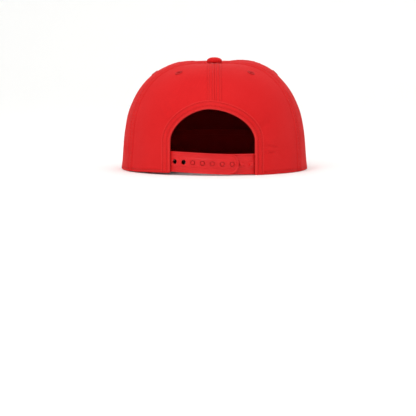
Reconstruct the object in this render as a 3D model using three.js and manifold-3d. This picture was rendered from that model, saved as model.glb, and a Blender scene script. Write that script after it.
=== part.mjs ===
// Surf cap: a five-panel twill crown, a stiff brim in front, and a plastic snap strap across the
// open arch at the back. Millimetres, +Z up. The brim points to -Y and the wearer's left is +X.
// The cap rests as it would on a table: on its rim and on the two side edges of the brim, at z = 0.
import * as THREE from "three";
import { mergeVertices } from "three/addons/utils/BufferGeometryUtils.js";
import Module from "manifold-3d";

// Crown
const CROWN_WIDTH = 170; // outside, at the rim
const CROWN_LENGTH = 208; // outside, at the rim
const CROWN_HEIGHT = 97.4; // from the rim's plane to the cloth under the button
const WALL = 1.8; // cloth with its backing
const BACK_SQUARENESS = 3.0; // 2 is round like an egg, and more is boxier
const SIDE_SQUARENESS = 2.9;
const FRONT_SQUARENESS = 3.6;
const FRONT_SWELL = 3.2; // how far the stiff front stands proud, half way from the button
const BACK_SWELL = 1.2; // and how far the soft back does
const PANEL_FLATTENING = 0.5; // how far the middle of a soft panel lies inside a true oval
const RIM_FLARE = 1.6; // how far the brim's ends push the rim out
const RIM_FLARE_HEIGHT = 26;
const RIM_LIFT = 1.8; // the rim beside the arch, on the wearer's left, stands off the table

// Seams between the panels
const GAP = 0.3; // between any two pieces that are sewn or set together
const RIB_WIDTH = 5.4; // one side of a seam, thickened by its turned-in allowance
const RIB_HEIGHT = 0.5;
const RIB_STEP = 0.8; // the run over which a rib falls back to the panel
const RIB_SHARE = 0.4; // the most of a panel's width that one rib takes, near the button
const BACK_PANEL_ANGLE = 66; // degrees round the oval, from the back seam to the side seam
const SIDE_PANEL_ANGLE = 54; // from there to the front panel

// Arch over the strap
const ARCH_WIDTH = 78.6;
const ARCH_HEIGHT = 60.3;
const ARCH_FOOT = 31; // the straight part of each side
const ARCH_SHIFT = 1.7; // of its middle from the back seam, towards the wearer's left
const ARCH_LEAN = 3.4; // the top lies this far to the wearer's left
const ARCH_LEFT_SQUARENESS = 1.75;
const ARCH_RIGHT_SQUARENESS = 1.85;
const HEM_WIDTH = 6.4; // of the cloth that is turned in round the arch
const HEM_HEIGHT = 0.4;

// Brim
const BRIM_OVERHANG = 1.7; // how far each side of the brim stands out past the crown
const BRIM_REACH = 70; // from the rim to the front edge, along the middle
const BRIM_THICKNESS = 3;
const BRIM_ARCH = 6.5; // how far its middle stands above its two sides
const BRIM_WIDEST = 52; // from the middle of the head opening to the brim's widest place
const BRIM_SQUARENESS = 2.4;
const BRIM_EDGE = 1.2; // the width of its rounded edge
const BRIM_EDGE_SHARE = 0.4; // the share of the thickness that is left at the very edge
const BRIM_END_ANGLE = 100; // degrees round the oval from the back seam to the brim's end
const RIM_STEP_ANGLE = 9; // the stretch over which the rim climbs onto the brim
const RIM_STEP_LEAD = 3; // how far before the brim's end that stretch is done

// Sweatband
const BAND_HEIGHT = 32;
const BAND_THICKNESS = 1.2;
const BAND_EASE_IN = 0.5; // between its lower edge and what lies outside it
const BAND_LEAN = 0.8; // how much further its free upper edge stands off
const BAND_FOOT = 0.6; // it stops this far above the rim
const BAND_SETBACK = 6.4; // it stops this far from the arch
const BAND_EASE = 16; // the stretch over which it comes back to the wall beyond a strap's end

// Snap strap, in two halves
const STRAP_HEIGHT = 18.5;
const STRAP_BASE = 1.2;
const STRAP_LIP_HEIGHT = 0.5;
const STRAP_LIP_WIDTH = 1.3;
const STRAP_RAIL_HEIGHT = 0.3; // the raised middle that carries the holes or the pegs
const STRAP_RAIL_WIDTH = 8;
const STRAP_SLOPE_RUN = 0.4; // the run from a raised face to the base
const STRAP_CLEARANCE = 0.5; // between it and the cloth that it is tucked behind
const STRAP_FOOT = 0.8; // from the rim's plane to the strap's lower edge
const STRAP_RISE = 2.2; // how much higher its end on the wearer's left is
const STRAP_TUCK = 11; // how far each half runs in under the crown
const SNAP_PITCH = 9.25;
const SNAP_COUNT = 7;
const SNAPS_CLOSED = 5;
const SNAP_HOLE_DIAMETER = 4.2;
const LAST_HOLE = -16.6; // along the strap from the back seam, towards the wearer's left
const HOLE_TO_TIP = 6.6;
const PEG_DIAMETER = 3;
const PEG_HEAD_DIAMETER = 3.6;
const PEG_HEAD_HEIGHT = 0.9;
const PEG_STANDS_OUT = 0.5;

// Button and eyelets
const BUTTON_DIAMETER = 14;
const BUTTON_HEIGHT = 4.8;
const BUTTON_LIP = 1.4; // the straight part of its side
const RIVET_DIAMETER = 4.4;
const RIVET_DISC_DIAMETER = 9;
const RIVET_DISC_THICKNESS = 1;
const EYELET_DIAMETER = 7;
const EYELET_HOLE_DIAMETER = 2.6;
const EYELET_STANDS_OUT = 0.5;

// Where the four eyelets lie: degrees round the oval, and height as a share of the crown's
const EYELETS = [
  { name: "eyelet_back_left", around: 38.4, up: 0.913 },
  { name: "eyelet_side_left", around: 103, up: 0.88 },
  { name: "eyelet_side_right", around: -103, up: 0.88 },
  { name: "eyelet_back_right", around: -39.6, up: 0.913 },
];

// Soft dents: place round the oval in degrees, height and reach as shares of the crown's height,
// spread round the oval in degrees, and depth as a share of the wall
const DENTS = [
  { around: 148, up: 0.91, spread: 44, reach: 0.085, depth: 0.5 },
  { around: -104, up: 0.95, spread: 60, reach: 0.13, depth: -1.4 },
  { around: 60, up: 0.27, spread: 15, reach: 0.3, depth: 0.6 },
  { around: -46, up: 0.18, spread: 12, reach: 0.28, depth: 0.7 },
  { around: -34, up: 0.42, spread: 10, reach: 0.14, depth: 0.5 },
];
const DENTLESS_REACH = 0.09; // shares of the way from the button to the crown's widest outline
const DENTED_REACH = 0.32;

// How finely each piece is divided
const CROWN_LEVELS = 16;
const BACK_COLUMNS = 8;
const SIDE_COLUMNS = 7;
const FRONT_COLUMNS = 12;
const ARCH_POINTS = 22;
const ARCH_PROBE = 0.004; // the share of the curve over which its direction is measured
const BRIM_COLUMNS = 30;
const BRIM_ROWS = 4;
const BAND_COLUMNS = 44;
const STRAP_STEP = 4.5;
const STRAP_TIP_STEPS = 5;
const STRAP_TIP_ANGLE = 80; // degrees of the round end that are kept before its small flat
const SNAP_SIDES = 12;
const EYELET_SIDES = 14;
const BUTTON_SIDES = 24;
const BUTTON_RINGS = 5;

const TWILL_RED = new THREE.MeshStandardMaterial({ color: 0xda2a2a, roughness: 0.9, metalness: 0 });
const BAND_RED = new THREE.MeshStandardMaterial({ color: 0xc62525, roughness: 0.9, metalness: 0 });
const THREAD_RED = new THREE.MeshStandardMaterial({ color: 0xd02426, roughness: 0.7, metalness: 0 });
const PLASTIC_RED = new THREE.MeshStandardMaterial({ color: 0xd82427, roughness: 0.45, metalness: 0 });

const HALF_WIDTH = CROWN_WIDTH / 2;
const HALF_LENGTH = CROWN_LENGTH / 2;
const RIGHT_ANGLE = Math.PI / 2;
const UP = new THREE.Vector3(0, 1, 0); // the axis that a lathe turns about

const radians = THREE.MathUtils.degToRad;
const mix = THREE.MathUtils.lerp;
const ramp = THREE.MathUtils.smoothstep;
const shares = (count) => Array.from({ length: count + 1 }, (_, i) => i / count);
const hump = (x) => (Math.abs(x) < 1 ? (1 + Math.cos(Math.PI * x)) / 2 : 0);

// An angle round the oval is 0 at the back seam, positive towards the wearer's left.
const turned = (angle) => Math.atan2(Math.sin(angle), Math.cos(angle));

const BACK_SEAM = radians(BACK_PANEL_ANGLE);
const FRONT_SEAM = radians(BACK_PANEL_ANGLE + SIDE_PANEL_ANGLE);
const BRIM_END = radians(BRIM_END_ANGLE);

// Brim: a board bent to one radius about a line along Y, its lowest edges on the table.
const brimHalfWidth = HALF_WIDTH + BRIM_OVERHANG;
const brimContact = brimHalfWidth - BRIM_EDGE;
const brimRadius = (brimContact ** 2 + BRIM_ARCH ** 2) / (2 * BRIM_ARCH);
const brimUnderside = (x) => BRIM_ARCH - brimRadius + Math.sqrt(brimRadius ** 2 - x * x);
const brimTop = (x) => brimUnderside(x) + BRIM_THICKNESS;

// The lower edge of the crown: on the table at the back and sides, on the brim in front.
function rimHeight(angle, x) {
  const away = Math.abs(turned(angle));
  const climbed = BRIM_END - radians(RIM_STEP_LEAD);
  const onBrim = ramp(away, climbed - radians(RIM_STEP_ANGLE), climbed);
  const archFoot = Math.asin(ARCH_WIDTH / CROWN_WIDTH);
  const lift = RIM_LIFT * hump((turned(angle) - archFoot) / (BACK_SEAM - archFoot / 2));
  return onBrim * (brimTop(x) + GAP) + (1 - onBrim) * lift * (turned(angle) > 0 ? 1 : 0);
}

// How boxy the crown is in each direction.
function squareness(angle) {
  const toBack = Math.cos(angle);
  const end = toBack > 0 ? BACK_SQUARENESS : FRONT_SQUARENESS;
  return mix(SIDE_SQUARENESS, end, toBack ** 2);
}

// The oval's radius share at a height share, and the steepness angle that stands for both.
const reachAt = (power, up) => (1 - up ** power) ** (1 / power);
const steepnessAt = (angle, height) => {
  const up = height / CROWN_HEIGHT;
  return Math.atan2(up, reachAt(squareness(angle), up));
};

// The soft panels are flatter than an oval between their seams.
function flattening(angle) {
  const away = Math.abs(turned(angle));
  if (away < BACK_SEAM) return PANEL_FLATTENING * Math.sin((Math.PI * away) / BACK_SEAM) ** 2;
  if (away > FRONT_SEAM) return 0;
  return PANEL_FLATTENING * Math.sin((Math.PI * (away - BACK_SEAM)) / (FRONT_SEAM - BACK_SEAM)) ** 2;
}

// Dents fade out towards the button, which sits on even cloth.
function dentDepth(angle, up, reach) {
  return ramp(reach, DENTLESS_REACH, DENTED_REACH) * DENTS.reduce((sum, dent) => {
    const across = turned(angle - radians(dent.around)) / radians(dent.spread);
    return sum + WALL * dent.depth * hump(across) * hump((up - dent.up) / dent.reach);
  }, 0);
}

// A point of the crown's outer face. Steepness runs from 0 at the rim's plane to a right angle
// at the button.
function crownPoint(angle, steepness) {
  const power = squareness(angle);
  const size = (Math.cos(steepness) ** power + Math.sin(steepness) ** power) ** (1 / power);
  const reach = Math.cos(steepness) / size;
  const up = Math.sin(steepness) / size;
  const toFront = ramp(Math.abs(turned(angle)), BACK_SEAM / 2, FRONT_SEAM);
  const swell = mix(BACK_SWELL, FRONT_SWELL, toFront) * (4 * reach * (1 - reach)) ** 2;
  const fromTip = (Math.abs(turned(angle)) - BRIM_END) / radians(SIDE_PANEL_ANGLE / 2);
  const flare = RIM_FLARE * hump(fromTip) * Math.max(0, 1 - (up * CROWN_HEIGHT) / RIM_FLARE_HEIGHT) ** 2;
  const dent = dentDepth(angle, up, reach);
  const soft = flattening(angle) * 4 * up * (1 - up) + dent * reach;
  const x = Math.sin(angle) * (HALF_WIDTH * reach + flare - soft);
  const y = Math.cos(angle) * (HALF_LENGTH * reach + flare - soft);
  return new THREE.Vector3(x, y, CROWN_HEIGHT * up + swell - dent * (1 - reach));
}

// A point at a depth below the crown's outer face, square to it. A negative depth stands out.
function below(angle, steepness, depth) {
  const step = 1e-3;
  const steep = Math.min(steepness, RIGHT_ANGLE - 2 * step);
  const point = crownPoint(angle, steep);
  const round = crownPoint(angle + step, steep).sub(point);
  const rise = crownPoint(angle, steep + step).sub(point);
  const normal = rise.cross(round).normalize();
  return { point: crownPoint(angle, steepness).addScaledVector(normal, -depth), normal };
}

// How many radians round the oval a width in millimetres takes at a point of the crown.
function angleOf(width, angle, steepness) {
  const step = 1e-3;
  const ahead = crownPoint(angle + step, steepness);
  return (width * step) / ahead.distanceTo(crownPoint(angle, steepness));
}

// The angle at which a length along the rim, measured from the back seam, ends.
function angleAlongRim(length) {
  const steps = 40;
  let angle = 0;
  for (let i = 0; i < steps; i += 1) angle += angleOf(length / steps, angle, 0);
  return angle;
}

// One closed skin round two grids of points with the same rows and columns.
function shell(outer, inner) {
  const rows = outer.length;
  const columns = outer[0].length;
  const corners = [...outer.flat(), ...inner.flat()].flatMap((p) => [p.x, p.y, p.z]);
  const at = (side, row, column) => (side * rows + row) * columns + column;
  const index = [];
  const quad = (a, b, c, d) => index.push(a, c, b, a, d, c);
  for (let j = 0; j < rows - 1; j += 1) {
    for (let i = 0; i < columns - 1; i += 1) {
      quad(at(0, j, i), at(0, j, i + 1), at(0, j + 1, i + 1), at(0, j + 1, i));
      quad(at(1, j, i), at(1, j + 1, i), at(1, j + 1, i + 1), at(1, j, i + 1));
    }
    quad(at(0, j, 0), at(0, j + 1, 0), at(1, j + 1, 0), at(1, j, 0));
    quad(at(0, j, columns - 1), at(1, j, columns - 1), at(1, j + 1, columns - 1), at(0, j + 1, columns - 1));
  }
  for (let i = 0; i < columns - 1; i += 1) {
    quad(at(0, 0, i), at(1, 0, i), at(1, 0, i + 1), at(0, 0, i + 1));
    quad(at(0, rows - 1, i), at(0, rows - 1, i + 1), at(1, rows - 1, i + 1), at(1, rows - 1, i));
  }
  const geometry = new THREE.BufferGeometry();
  geometry.setAttribute("position", new THREE.Float32BufferAttribute(corners, 3));
  return geometry.setIndex(index);
}

const wasm = await Module();
wasm.setup();

function toSolid(geometry) {
  const bare = geometry.clone();
  bare.deleteAttribute("normal");
  bare.deleteAttribute("uv");
  const merged = mergeVertices(bare, 1e-4);
  const vertProperties = merged.attributes.position.array;
  return new wasm.Manifold(
    new wasm.Mesh({ numProp: 3, vertProperties, triVerts: new Uint32Array(merged.index.array) }),
  );
}

function toGeometry(solid) {
  const mesh = solid.getMesh();
  const geometry = new THREE.BufferGeometry();
  geometry.setAttribute("position", new THREE.Float32BufferAttribute(mesh.vertProperties, 3));
  return geometry.setIndex(new THREE.BufferAttribute(mesh.triVerts, 1));
}

// Stands a lathed shape on the crown, its axis square to the cloth.
function standOn(geometry, place) {
  const turn = new THREE.Quaternion().setFromUnitVectors(UP, place.normal);
  return geometry.applyQuaternion(turn).translate(place.point.x, place.point.y, place.point.z);
}

const cylinder = (diameter, length, sides) =>
  new THREE.CylinderGeometry(diameter / 2, diameter / 2, length, sides);

// The steepness at which a column of the crown ends, at the rivet's hole.
const rivetHole = RIVET_DIAMETER / 2 + GAP;

function topSteepness(angle) {
  const across = Math.hypot(HALF_WIDTH * Math.sin(angle), HALF_LENGTH * Math.cos(angle));
  const reach = rivetHole / across;
  return Math.atan2(reachAt(squareness(angle), reach), reach);
}

// The steepness at which it starts, on the rim.
function rimFoot(angle) {
  const x = crownPoint(angle, 0).x;
  return steepnessAt(angle, rimHeight(angle, x));
}

// A panel between two seams, given in the order of growing angle. The columns beside a seam keep
// a constant distance from it, and the others share out what is left. The whole of it can stand
// prouder, and its edges and its inside can keep back by an inset.
function panel({ from, to, columns }, proud = 0, inset = 0) {
  const ribs = [
    { distance: GAP / 2 + inset, raised: RIB_HEIGHT },
    { distance: RIB_WIDTH, raised: RIB_HEIGHT },
    { distance: RIB_WIDTH + RIB_STEP, raised: 0 },
  ];
  const outer = [];
  const inner = [];
  for (const level of shares(CROWN_LEVELS)) {
    const steepnessOf = (angle) => mix(rimFoot(angle), topSteepness(angle), level);
    const away = (seam, distance) =>
      Math.min(angleOf(distance, seam, steepnessOf(seam)), RIB_SHARE * (to - from));
    const first = ribs.map((rib) => ({ angle: from + away(from, rib.distance), raised: rib.raised }));
    const last = ribs.map((rib) => ({ angle: to - away(to, rib.distance), raised: rib.raised })).reverse();
    const between = shares(columns).slice(1, -1).map((share) => ({
      angle: mix(first[first.length - 1].angle, last[0].angle, share),
      raised: 0,
    }));
    const row = [...first, ...between, ...last].map(({ angle, raised }) =>
      [-raised - proud, WALL - inset].map((depth) => {
        const { point } = below(angle, steepnessOf(angle), depth);
        if (level === 0) point.z = rimHeight(angle, point.x) + inset;
        return point;
      }),
    );
    outer.push(row.map((pair) => pair[0]));
    inner.push(row.map((pair) => pair[1]));
  }
  return shell(outer, inner);
}

// A point on the curved top of the open arch at the back, seen flat.
function archPoint(share) {
  const turn = Math.PI * share;
  const toLeft = Math.cos(turn) > 0;
  const half = ARCH_WIDTH / 2 - (toLeft ? ARCH_LEAN : -ARCH_LEAN);
  const power = toLeft ? ARCH_LEFT_SQUARENESS : ARCH_RIGHT_SQUARENESS;
  const across = half * Math.sign(Math.cos(turn)) * Math.abs(Math.cos(turn)) ** (2 / power);
  const up = Math.abs(Math.sin(turn)) ** (2 / power);
  return new THREE.Vector2(ARCH_SHIFT + ARCH_LEAN + across, ARCH_FOOT + (ARCH_HEIGHT - ARCH_FOOT) * up);
}

// The arch as a block, which can be wider than the opening by a margin all round.
function archBlock(margin = 0) {
  const curve = shares(ARCH_POINTS).map((share) => {
    const ahead = archPoint(Math.min(share + ARCH_PROBE, 1));
    const along = ahead.sub(archPoint(Math.max(share - ARCH_PROBE, 0))).normalize();
    return archPoint(share).add(new THREE.Vector2(along.y, -along.x).multiplyScalar(margin));
  });
  const foot = ARCH_WIDTH / 2 + margin;
  const feet = [-foot, foot].map((x) => new THREE.Vector2(ARCH_SHIFT + x, -CROWN_HEIGHT / 4));
  const shape = new THREE.Shape([...feet, ...curve]);
  const depth = HALF_LENGTH + RIM_FLARE;
  return new THREE.ExtrudeGeometry(shape, { depth, bevelEnabled: false })
    .rotateX(RIGHT_ANGLE)
    .translate(0, depth, 0);
}

const PANELS = [
  { name: "panel_back_left", from: 0, to: BACK_SEAM, columns: BACK_COLUMNS, arched: true },
  { name: "panel_side_left", from: BACK_SEAM, to: FRONT_SEAM, columns: SIDE_COLUMNS },
  { name: "panel_front", from: FRONT_SEAM, to: 2 * Math.PI - FRONT_SEAM, columns: FRONT_COLUMNS },
  { name: "panel_side_right", from: -FRONT_SEAM, to: -BACK_SEAM, columns: SIDE_COLUMNS },
  { name: "panel_back_right", from: -BACK_SEAM, to: 0, columns: BACK_COLUMNS, arched: true },
];

const eyeletPlace = ({ around, up }, depth) => {
  const angle = radians(around);
  return below(angle, steepnessAt(angle, up * CROWN_HEIGHT), depth);
};

// The cloth round the arch is turned in and sewn down, and stands proud there by the turned layer.
function crownPanel(spec) {
  const inside = EYELETS.filter(({ around }) => radians(around) > spec.from && radians(around) < spec.to);
  const cutters = inside.map((eyelet) =>
    standOn(cylinder(EYELET_DIAMETER + 2 * GAP, 4 * WALL, EYELET_SIDES), eyeletPlace(eyelet, WALL / 2)),
  );
  let whole = toSolid(panel(spec));
  if (spec.arched) {
    const turnedIn = toSolid(panel(spec, HEM_HEIGHT, GAP)).intersect(toSolid(archBlock(HEM_WIDTH)));
    whole = whole.add(turnedIn);
    cutters.push(archBlock());
  }
  return toGeometry(cutters.map(toSolid).reduce((solid, cutter) => solid.subtract(cutter), whole));
}

// A worked ring of thread in each hole of the crown.
function eyeletRing() {
  const inner = EYELET_HOLE_DIAMETER / 2;
  const outer = EYELET_DIAMETER / 2;
  const low = -WALL / 2 - EYELET_STANDS_OUT;
  const high = WALL / 2 + EYELET_STANDS_OUT;
  const crest = (inner + outer) / 2;
  const soft = EYELET_STANDS_OUT * 0.6;
  const profile = [
    [inner, low + soft], [crest, low], [outer, low + soft],
    [outer, high - soft], [crest, high], [inner, high - soft], [inner, low + soft],
  ];
  return new THREE.LatheGeometry(profile.map(([r, h]) => new THREE.Vector2(r, h)), EYELET_SIDES);
}

// The covered button and the rivet that holds it, in one piece.
function buttonGeometry() {
  const seat = RIB_HEIGHT + 2 * GAP;
  const neck = RIVET_DIAMETER / 2;
  const disc = RIVET_DISC_DIAMETER / 2;
  const discTop = -WALL - GAP;
  const rim = BUTTON_DIAMETER / 2;
  const profile = [
    [0, discTop - RIVET_DISC_THICKNESS], [disc, discTop - RIVET_DISC_THICKNESS], [disc, discTop],
    [neck, discTop], [neck, seat], [rim, seat],
  ];
  const dome = shares(BUTTON_RINGS).map((share) => [
    rim * Math.cos(share * RIGHT_ANGLE),
    seat + BUTTON_LIP + (BUTTON_HEIGHT - BUTTON_LIP) * Math.sin(share * RIGHT_ANGLE),
  ]);
  dome[dome.length - 1][0] = 0;
  const points = [...profile, ...dome].map(([r, h]) => new THREE.Vector2(r, h));
  return new THREE.LatheGeometry(points, BUTTON_SIDES).rotateX(RIGHT_ANGLE).translate(0, 0, CROWN_HEIGHT);
}

// Brim. Its outline is a squared oval round a point between the temples; towards its ends it
// closes on the crown. Its inner edge lies under the crown's wall.
const outlineCentre = -BRIM_WIDEST;
const outlineFront = HALF_LENGTH + BRIM_REACH - BRIM_WIDEST;

function brimOutline(direction, endLength) {
  const across = Math.abs(Math.sin(direction)) / brimHalfWidth;
  const along = Math.abs(Math.cos(direction)) / (Math.cos(direction) > 0 ? outlineFront : endLength);
  const radius = (across ** BRIM_SQUARENESS + along ** BRIM_SQUARENESS) ** (-1 / BRIM_SQUARENESS);
  return new THREE.Vector2(radius * Math.sin(direction), outlineCentre - radius * Math.cos(direction));
}

function brimGeometry() {
  const end = crownPoint(BRIM_END, 0);
  const endAcross = (end.x / brimHalfWidth) ** BRIM_SQUARENESS;
  const endLength = (end.y - outlineCentre) / (1 - endAcross) ** (1 / BRIM_SQUARENESS);
  const endDirection = Math.atan2(end.x, outlineCentre - end.y);
  const topRows = [];
  const underRows = [];
  for (const share of shares(BRIM_COLUMNS)) {
    const angle = mix(BRIM_END, 2 * Math.PI - BRIM_END, share);
    const rim = below(angle, rimFoot(angle), WALL).point;
    const edge = brimOutline(mix(endDirection, -endDirection, share), endLength);
    const width = Math.hypot(edge.x - rim.x, edge.y - rim.y);
    const rounded = Math.min(BRIM_EDGE / width, 0.5);
    const across = [...shares(BRIM_ROWS).map((v) => v * (1 - rounded)), 1];
    const row = (atEdge, height) =>
      across.map((v) => {
        const x = mix(rim.x, edge.x, v);
        return new THREE.Vector3(x, mix(rim.y, edge.y, v), brimUnderside(x) + (v === 1 ? atEdge : height));
      });
    const half = (BRIM_THICKNESS * BRIM_EDGE_SHARE) / 2;
    topRows.push(row(BRIM_THICKNESS / 2 + half, BRIM_THICKNESS));
    underRows.push(row(BRIM_THICKNESS / 2 - half, 0));
  }
  return shell(topRows, underRows);
}

// Snap strap. Lengths along it are measured on the rim from the back seam, and depths from the
// crown's outer face.
const strapThickness = STRAP_BASE + STRAP_LIP_HEIGHT;
const outerDepth = WALL + STRAP_CLEARANCE;
const underDepth = outerDepth + strapThickness + GAP;
const archCorner = ARCH_WIDTH / 2;
const strapEnd = archCorner * 1.04 + STRAP_TUCK;
const holeTip = LAST_HOLE - HOLE_TO_TIP;
const pegTip = LAST_HOLE + (SNAPS_CLOSED - 1) * SNAP_PITCH + HOLE_TO_TIP;
const strapLevel = (length) => STRAP_FOOT + STRAP_HEIGHT / 2 + STRAP_RISE * ramp(length, holeTip, strapEnd);
const pegDepth = (length) => mix(outerDepth, underDepth, ramp(length, -archCorner, holeTip - GAP));

// Half heights and raised faces of the strap's section, from its edge to its middle line.
function strapSection(half) {
  const floor = (value, least) => Math.max(value, least);
  const lip = floor(half - STRAP_LIP_WIDTH, half * 0.4);
  const field = floor(lip - STRAP_SLOPE_RUN, half * 0.3);
  const rail = Math.min(STRAP_RAIL_WIDTH / 2, field * 0.6);
  const foot = Math.min(rail + STRAP_SLOPE_RUN, field * 0.8);
  const upper = [
    [rail, STRAP_RAIL_HEIGHT], [foot, 0], [field, 0], [lip, STRAP_LIP_HEIGHT], [half, STRAP_LIP_HEIGHT],
  ];
  const lower = upper.map(([h, raised]) => [-h, raised]).reverse();
  return [...lower, ...upper];
}

// Stations along a strap half, from its sewn end to its round tip.
function strapStations(end, tip) {
  const way = Math.sign(tip - end);
  const straight = Math.abs(tip - end) - STRAP_HEIGHT / 2;
  const count = Math.round(straight / STRAP_STEP);
  const body = shares(count).map((share) => ({
    length: end + way * straight * share,
    half: STRAP_HEIGHT / 2,
  }));
  const round = shares(STRAP_TIP_STEPS).slice(1).map((share) => {
    const turn = radians(STRAP_TIP_ANGLE) * share;
    const reach = (STRAP_HEIGHT / 2) * Math.sin(turn);
    return { length: end + way * (straight + reach), half: (STRAP_HEIGHT / 2) * Math.cos(turn) };
  });
  return [...body, ...round];
}

function strapHalf(end, tip, depthAt) {
  const rows = strapStations(end, tip).map(({ length, half }) => {
    const angle = angleAlongRim(length);
    const depth = depthAt(length);
    const pairs = strapSection(half).map(([height, raised]) => {
      const steepness = steepnessAt(angle, strapLevel(length) + height);
      return [depth + STRAP_LIP_HEIGHT - raised, depth + strapThickness].map(
        (d) => below(angle, steepness, d).point,
      );
    });
    return pairs;
  });
  const ordered = tip > end ? rows : rows.reverse();
  const face = (side) => ordered.map((row) => row.map((pair) => pair[side]));
  return toSolid(shell(face(1), face(0)));
}

const snapAt = (length, depth) => {
  const angle = angleAlongRim(length);
  return below(angle, steepnessAt(angle, strapLevel(length)), depth);
};
const snapLengths = (first) => Array.from({ length: SNAP_COUNT }, (_, i) => first + i * SNAP_PITCH);

function holeStrap() {
  const holes = snapLengths(LAST_HOLE).map((length) => {
    const cutter = cylinder(SNAP_HOLE_DIAMETER, 4 * strapThickness, SNAP_SIDES);
    return toSolid(standOn(cutter, snapAt(length, outerDepth + strapThickness / 2)));
  });
  const body = strapHalf(strapEnd, holeTip, () => outerDepth);
  return toGeometry(holes.reduce((solid, hole) => solid.subtract(hole), body));
}

// A peg with a small head, sunk a little into the strap that carries it.
function pegGeometry() {
  const root = -(STRAP_BASE / 2);
  const top = GAP + strapThickness + PEG_STANDS_OUT;
  const profile = [
    [0, root], [PEG_DIAMETER / 2, root], [PEG_DIAMETER / 2, top - PEG_HEAD_HEIGHT],
    [PEG_HEAD_DIAMETER / 2, top - PEG_HEAD_HEIGHT * 0.6], [PEG_DIAMETER / 2, top - PEG_HEAD_HEIGHT * 0.15],
    [0, top],
  ];
  return new THREE.LatheGeometry(profile.map(([r, h]) => new THREE.Vector2(r, h)), SNAP_SIDES);
}

function pegStrap() {
  const first = LAST_HOLE - (SNAP_COUNT - SNAPS_CLOSED) * SNAP_PITCH;
  const raisedFace = STRAP_LIP_HEIGHT - STRAP_RAIL_HEIGHT;
  const pegs = snapLengths(first).map((length) =>
    toSolid(standOn(pegGeometry(), snapAt(length, pegDepth(length) + raisedFace))),
  );
  const body = strapHalf(-strapEnd, pegTip, pegDepth);
  return toGeometry(pegs.reduce((solid, peg) => solid.add(peg), body));
}

// Sweatband: from one side of the arch round the front to the other, easing in over the straps.
function sweatbandGeometry() {
  const start = angleAlongRim(archCorner * 1.04 + BAND_SETBACK);
  const free = angleAlongRim(strapEnd + GAP);
  const eased = angleAlongRim(strapEnd + BAND_EASE);
  const outer = [];
  const inner = [];
  for (const share of shares(BAND_COLUMNS)) {
    const angle = mix(start, 2 * Math.PI - start, share);
    const overStrap = 1 - ramp(Math.abs(turned(angle)), free, eased);
    const depth = WALL + BAND_EASE_IN + overStrap * (STRAP_CLEARANCE + strapThickness);
    const x = crownPoint(angle, 0).x;
    const onBrim = rimHeight(angle, x) - (BRIM_THICKNESS + GAP);
    const foot = Math.max(turned(angle) > 0 && onBrim < 0 ? rimHeight(angle, x) : onBrim, 0) + BAND_FOOT;
    const heights = [foot, mix(foot, BAND_HEIGHT, 0.5), BAND_HEIGHT];
    const line = (d) =>
      heights.map((h) => below(angle, steepnessAt(angle, h), d + (BAND_LEAN * h) / BAND_HEIGHT).point);
    outer.push(line(depth));
    inner.push(line(depth + BAND_THICKNESS));
  }
  return shell(inner, outer);
}

// Assembly, moved so that the origin is the middle of the footprint.
const cap = new THREE.Group();
cap.position.y = (BRIM_REACH + outerDepth) / 2;

function add(name, geometry, material) {
  const mesh = new THREE.Mesh(geometry, material);
  mesh.name = name;
  cap.add(mesh);
}

for (const spec of PANELS) add(spec.name, crownPanel(spec), TWILL_RED);
for (const eyelet of EYELETS) {
  add(eyelet.name, standOn(eyeletRing(), eyeletPlace(eyelet, WALL / 2)), THREAD_RED);
}
add("button", buttonGeometry(), TWILL_RED);
add("brim", brimGeometry(), TWILL_RED);
add("sweatband", sweatbandGeometry(), BAND_RED);
add("strap_with_holes", holeStrap(), PLASTIC_RED);
add("strap_with_pegs", pegStrap(), PLASTIC_RED);

export default cap;
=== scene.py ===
# %% [markdown]
# A surf cap, dressed over its measured frame.
# The frame holds plain solids at their real size. This lesson makes a finely divided, sewn
# version of each one: twill panels with felled seams, a stitched brim and a moulded snap strap.
# Lengths are written in millimetres, because that is how a cap maker thinks. They
# become Blender's metres only where a mesh or the camera is made.

# %% Load the frame
import math

import bmesh
import bpy
import numpy as np
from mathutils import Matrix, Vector


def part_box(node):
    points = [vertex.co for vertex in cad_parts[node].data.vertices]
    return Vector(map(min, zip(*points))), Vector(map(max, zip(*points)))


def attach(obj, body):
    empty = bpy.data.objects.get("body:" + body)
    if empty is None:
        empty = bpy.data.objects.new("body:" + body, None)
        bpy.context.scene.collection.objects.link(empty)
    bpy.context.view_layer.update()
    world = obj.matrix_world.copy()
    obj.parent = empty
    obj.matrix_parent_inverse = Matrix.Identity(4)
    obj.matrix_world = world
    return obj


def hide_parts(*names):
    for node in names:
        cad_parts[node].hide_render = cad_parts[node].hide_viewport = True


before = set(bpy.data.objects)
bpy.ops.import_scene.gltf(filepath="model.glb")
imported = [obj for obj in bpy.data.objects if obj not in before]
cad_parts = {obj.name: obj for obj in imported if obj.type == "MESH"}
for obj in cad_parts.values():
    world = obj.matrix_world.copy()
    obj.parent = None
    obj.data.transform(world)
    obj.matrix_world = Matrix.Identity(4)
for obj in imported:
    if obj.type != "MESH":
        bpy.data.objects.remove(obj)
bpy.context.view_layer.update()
button_low, button_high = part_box("button")
HEAD_Y = 500 * (button_low.y + button_high.y)  # the middle of the head opening, in mm
print("head opening's middle at y =", round(HEAD_Y, 2), "mm")

# %% [markdown]
# The camera comes first, so that every later step can be judged through it. The cap is seen from
# behind and a little from above, through a long lens, so its sides hardly converge. The object
# stands high in the picture: instead of shifting the lens, the camera looks at a point below it.

# %% Camera
VIEW_AZIMUTH = 180
VIEW_ELEVATION = 2.4
VIEW_DISTANCE = 2400  # mm
MM_PER_PIXEL = 0.928  # at the middle of the cap
PICTURE = 416  # pixels along each side
SUBJECT = (0, HEAD_Y, 51)  # this point of the cap is seen at the pixel below
SUBJECT_PIXEL = (214.4, 113.7)
SENSOR = 36  # mm


def to_metres(point):
    return Vector([0.001 * v for v in point])


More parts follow.
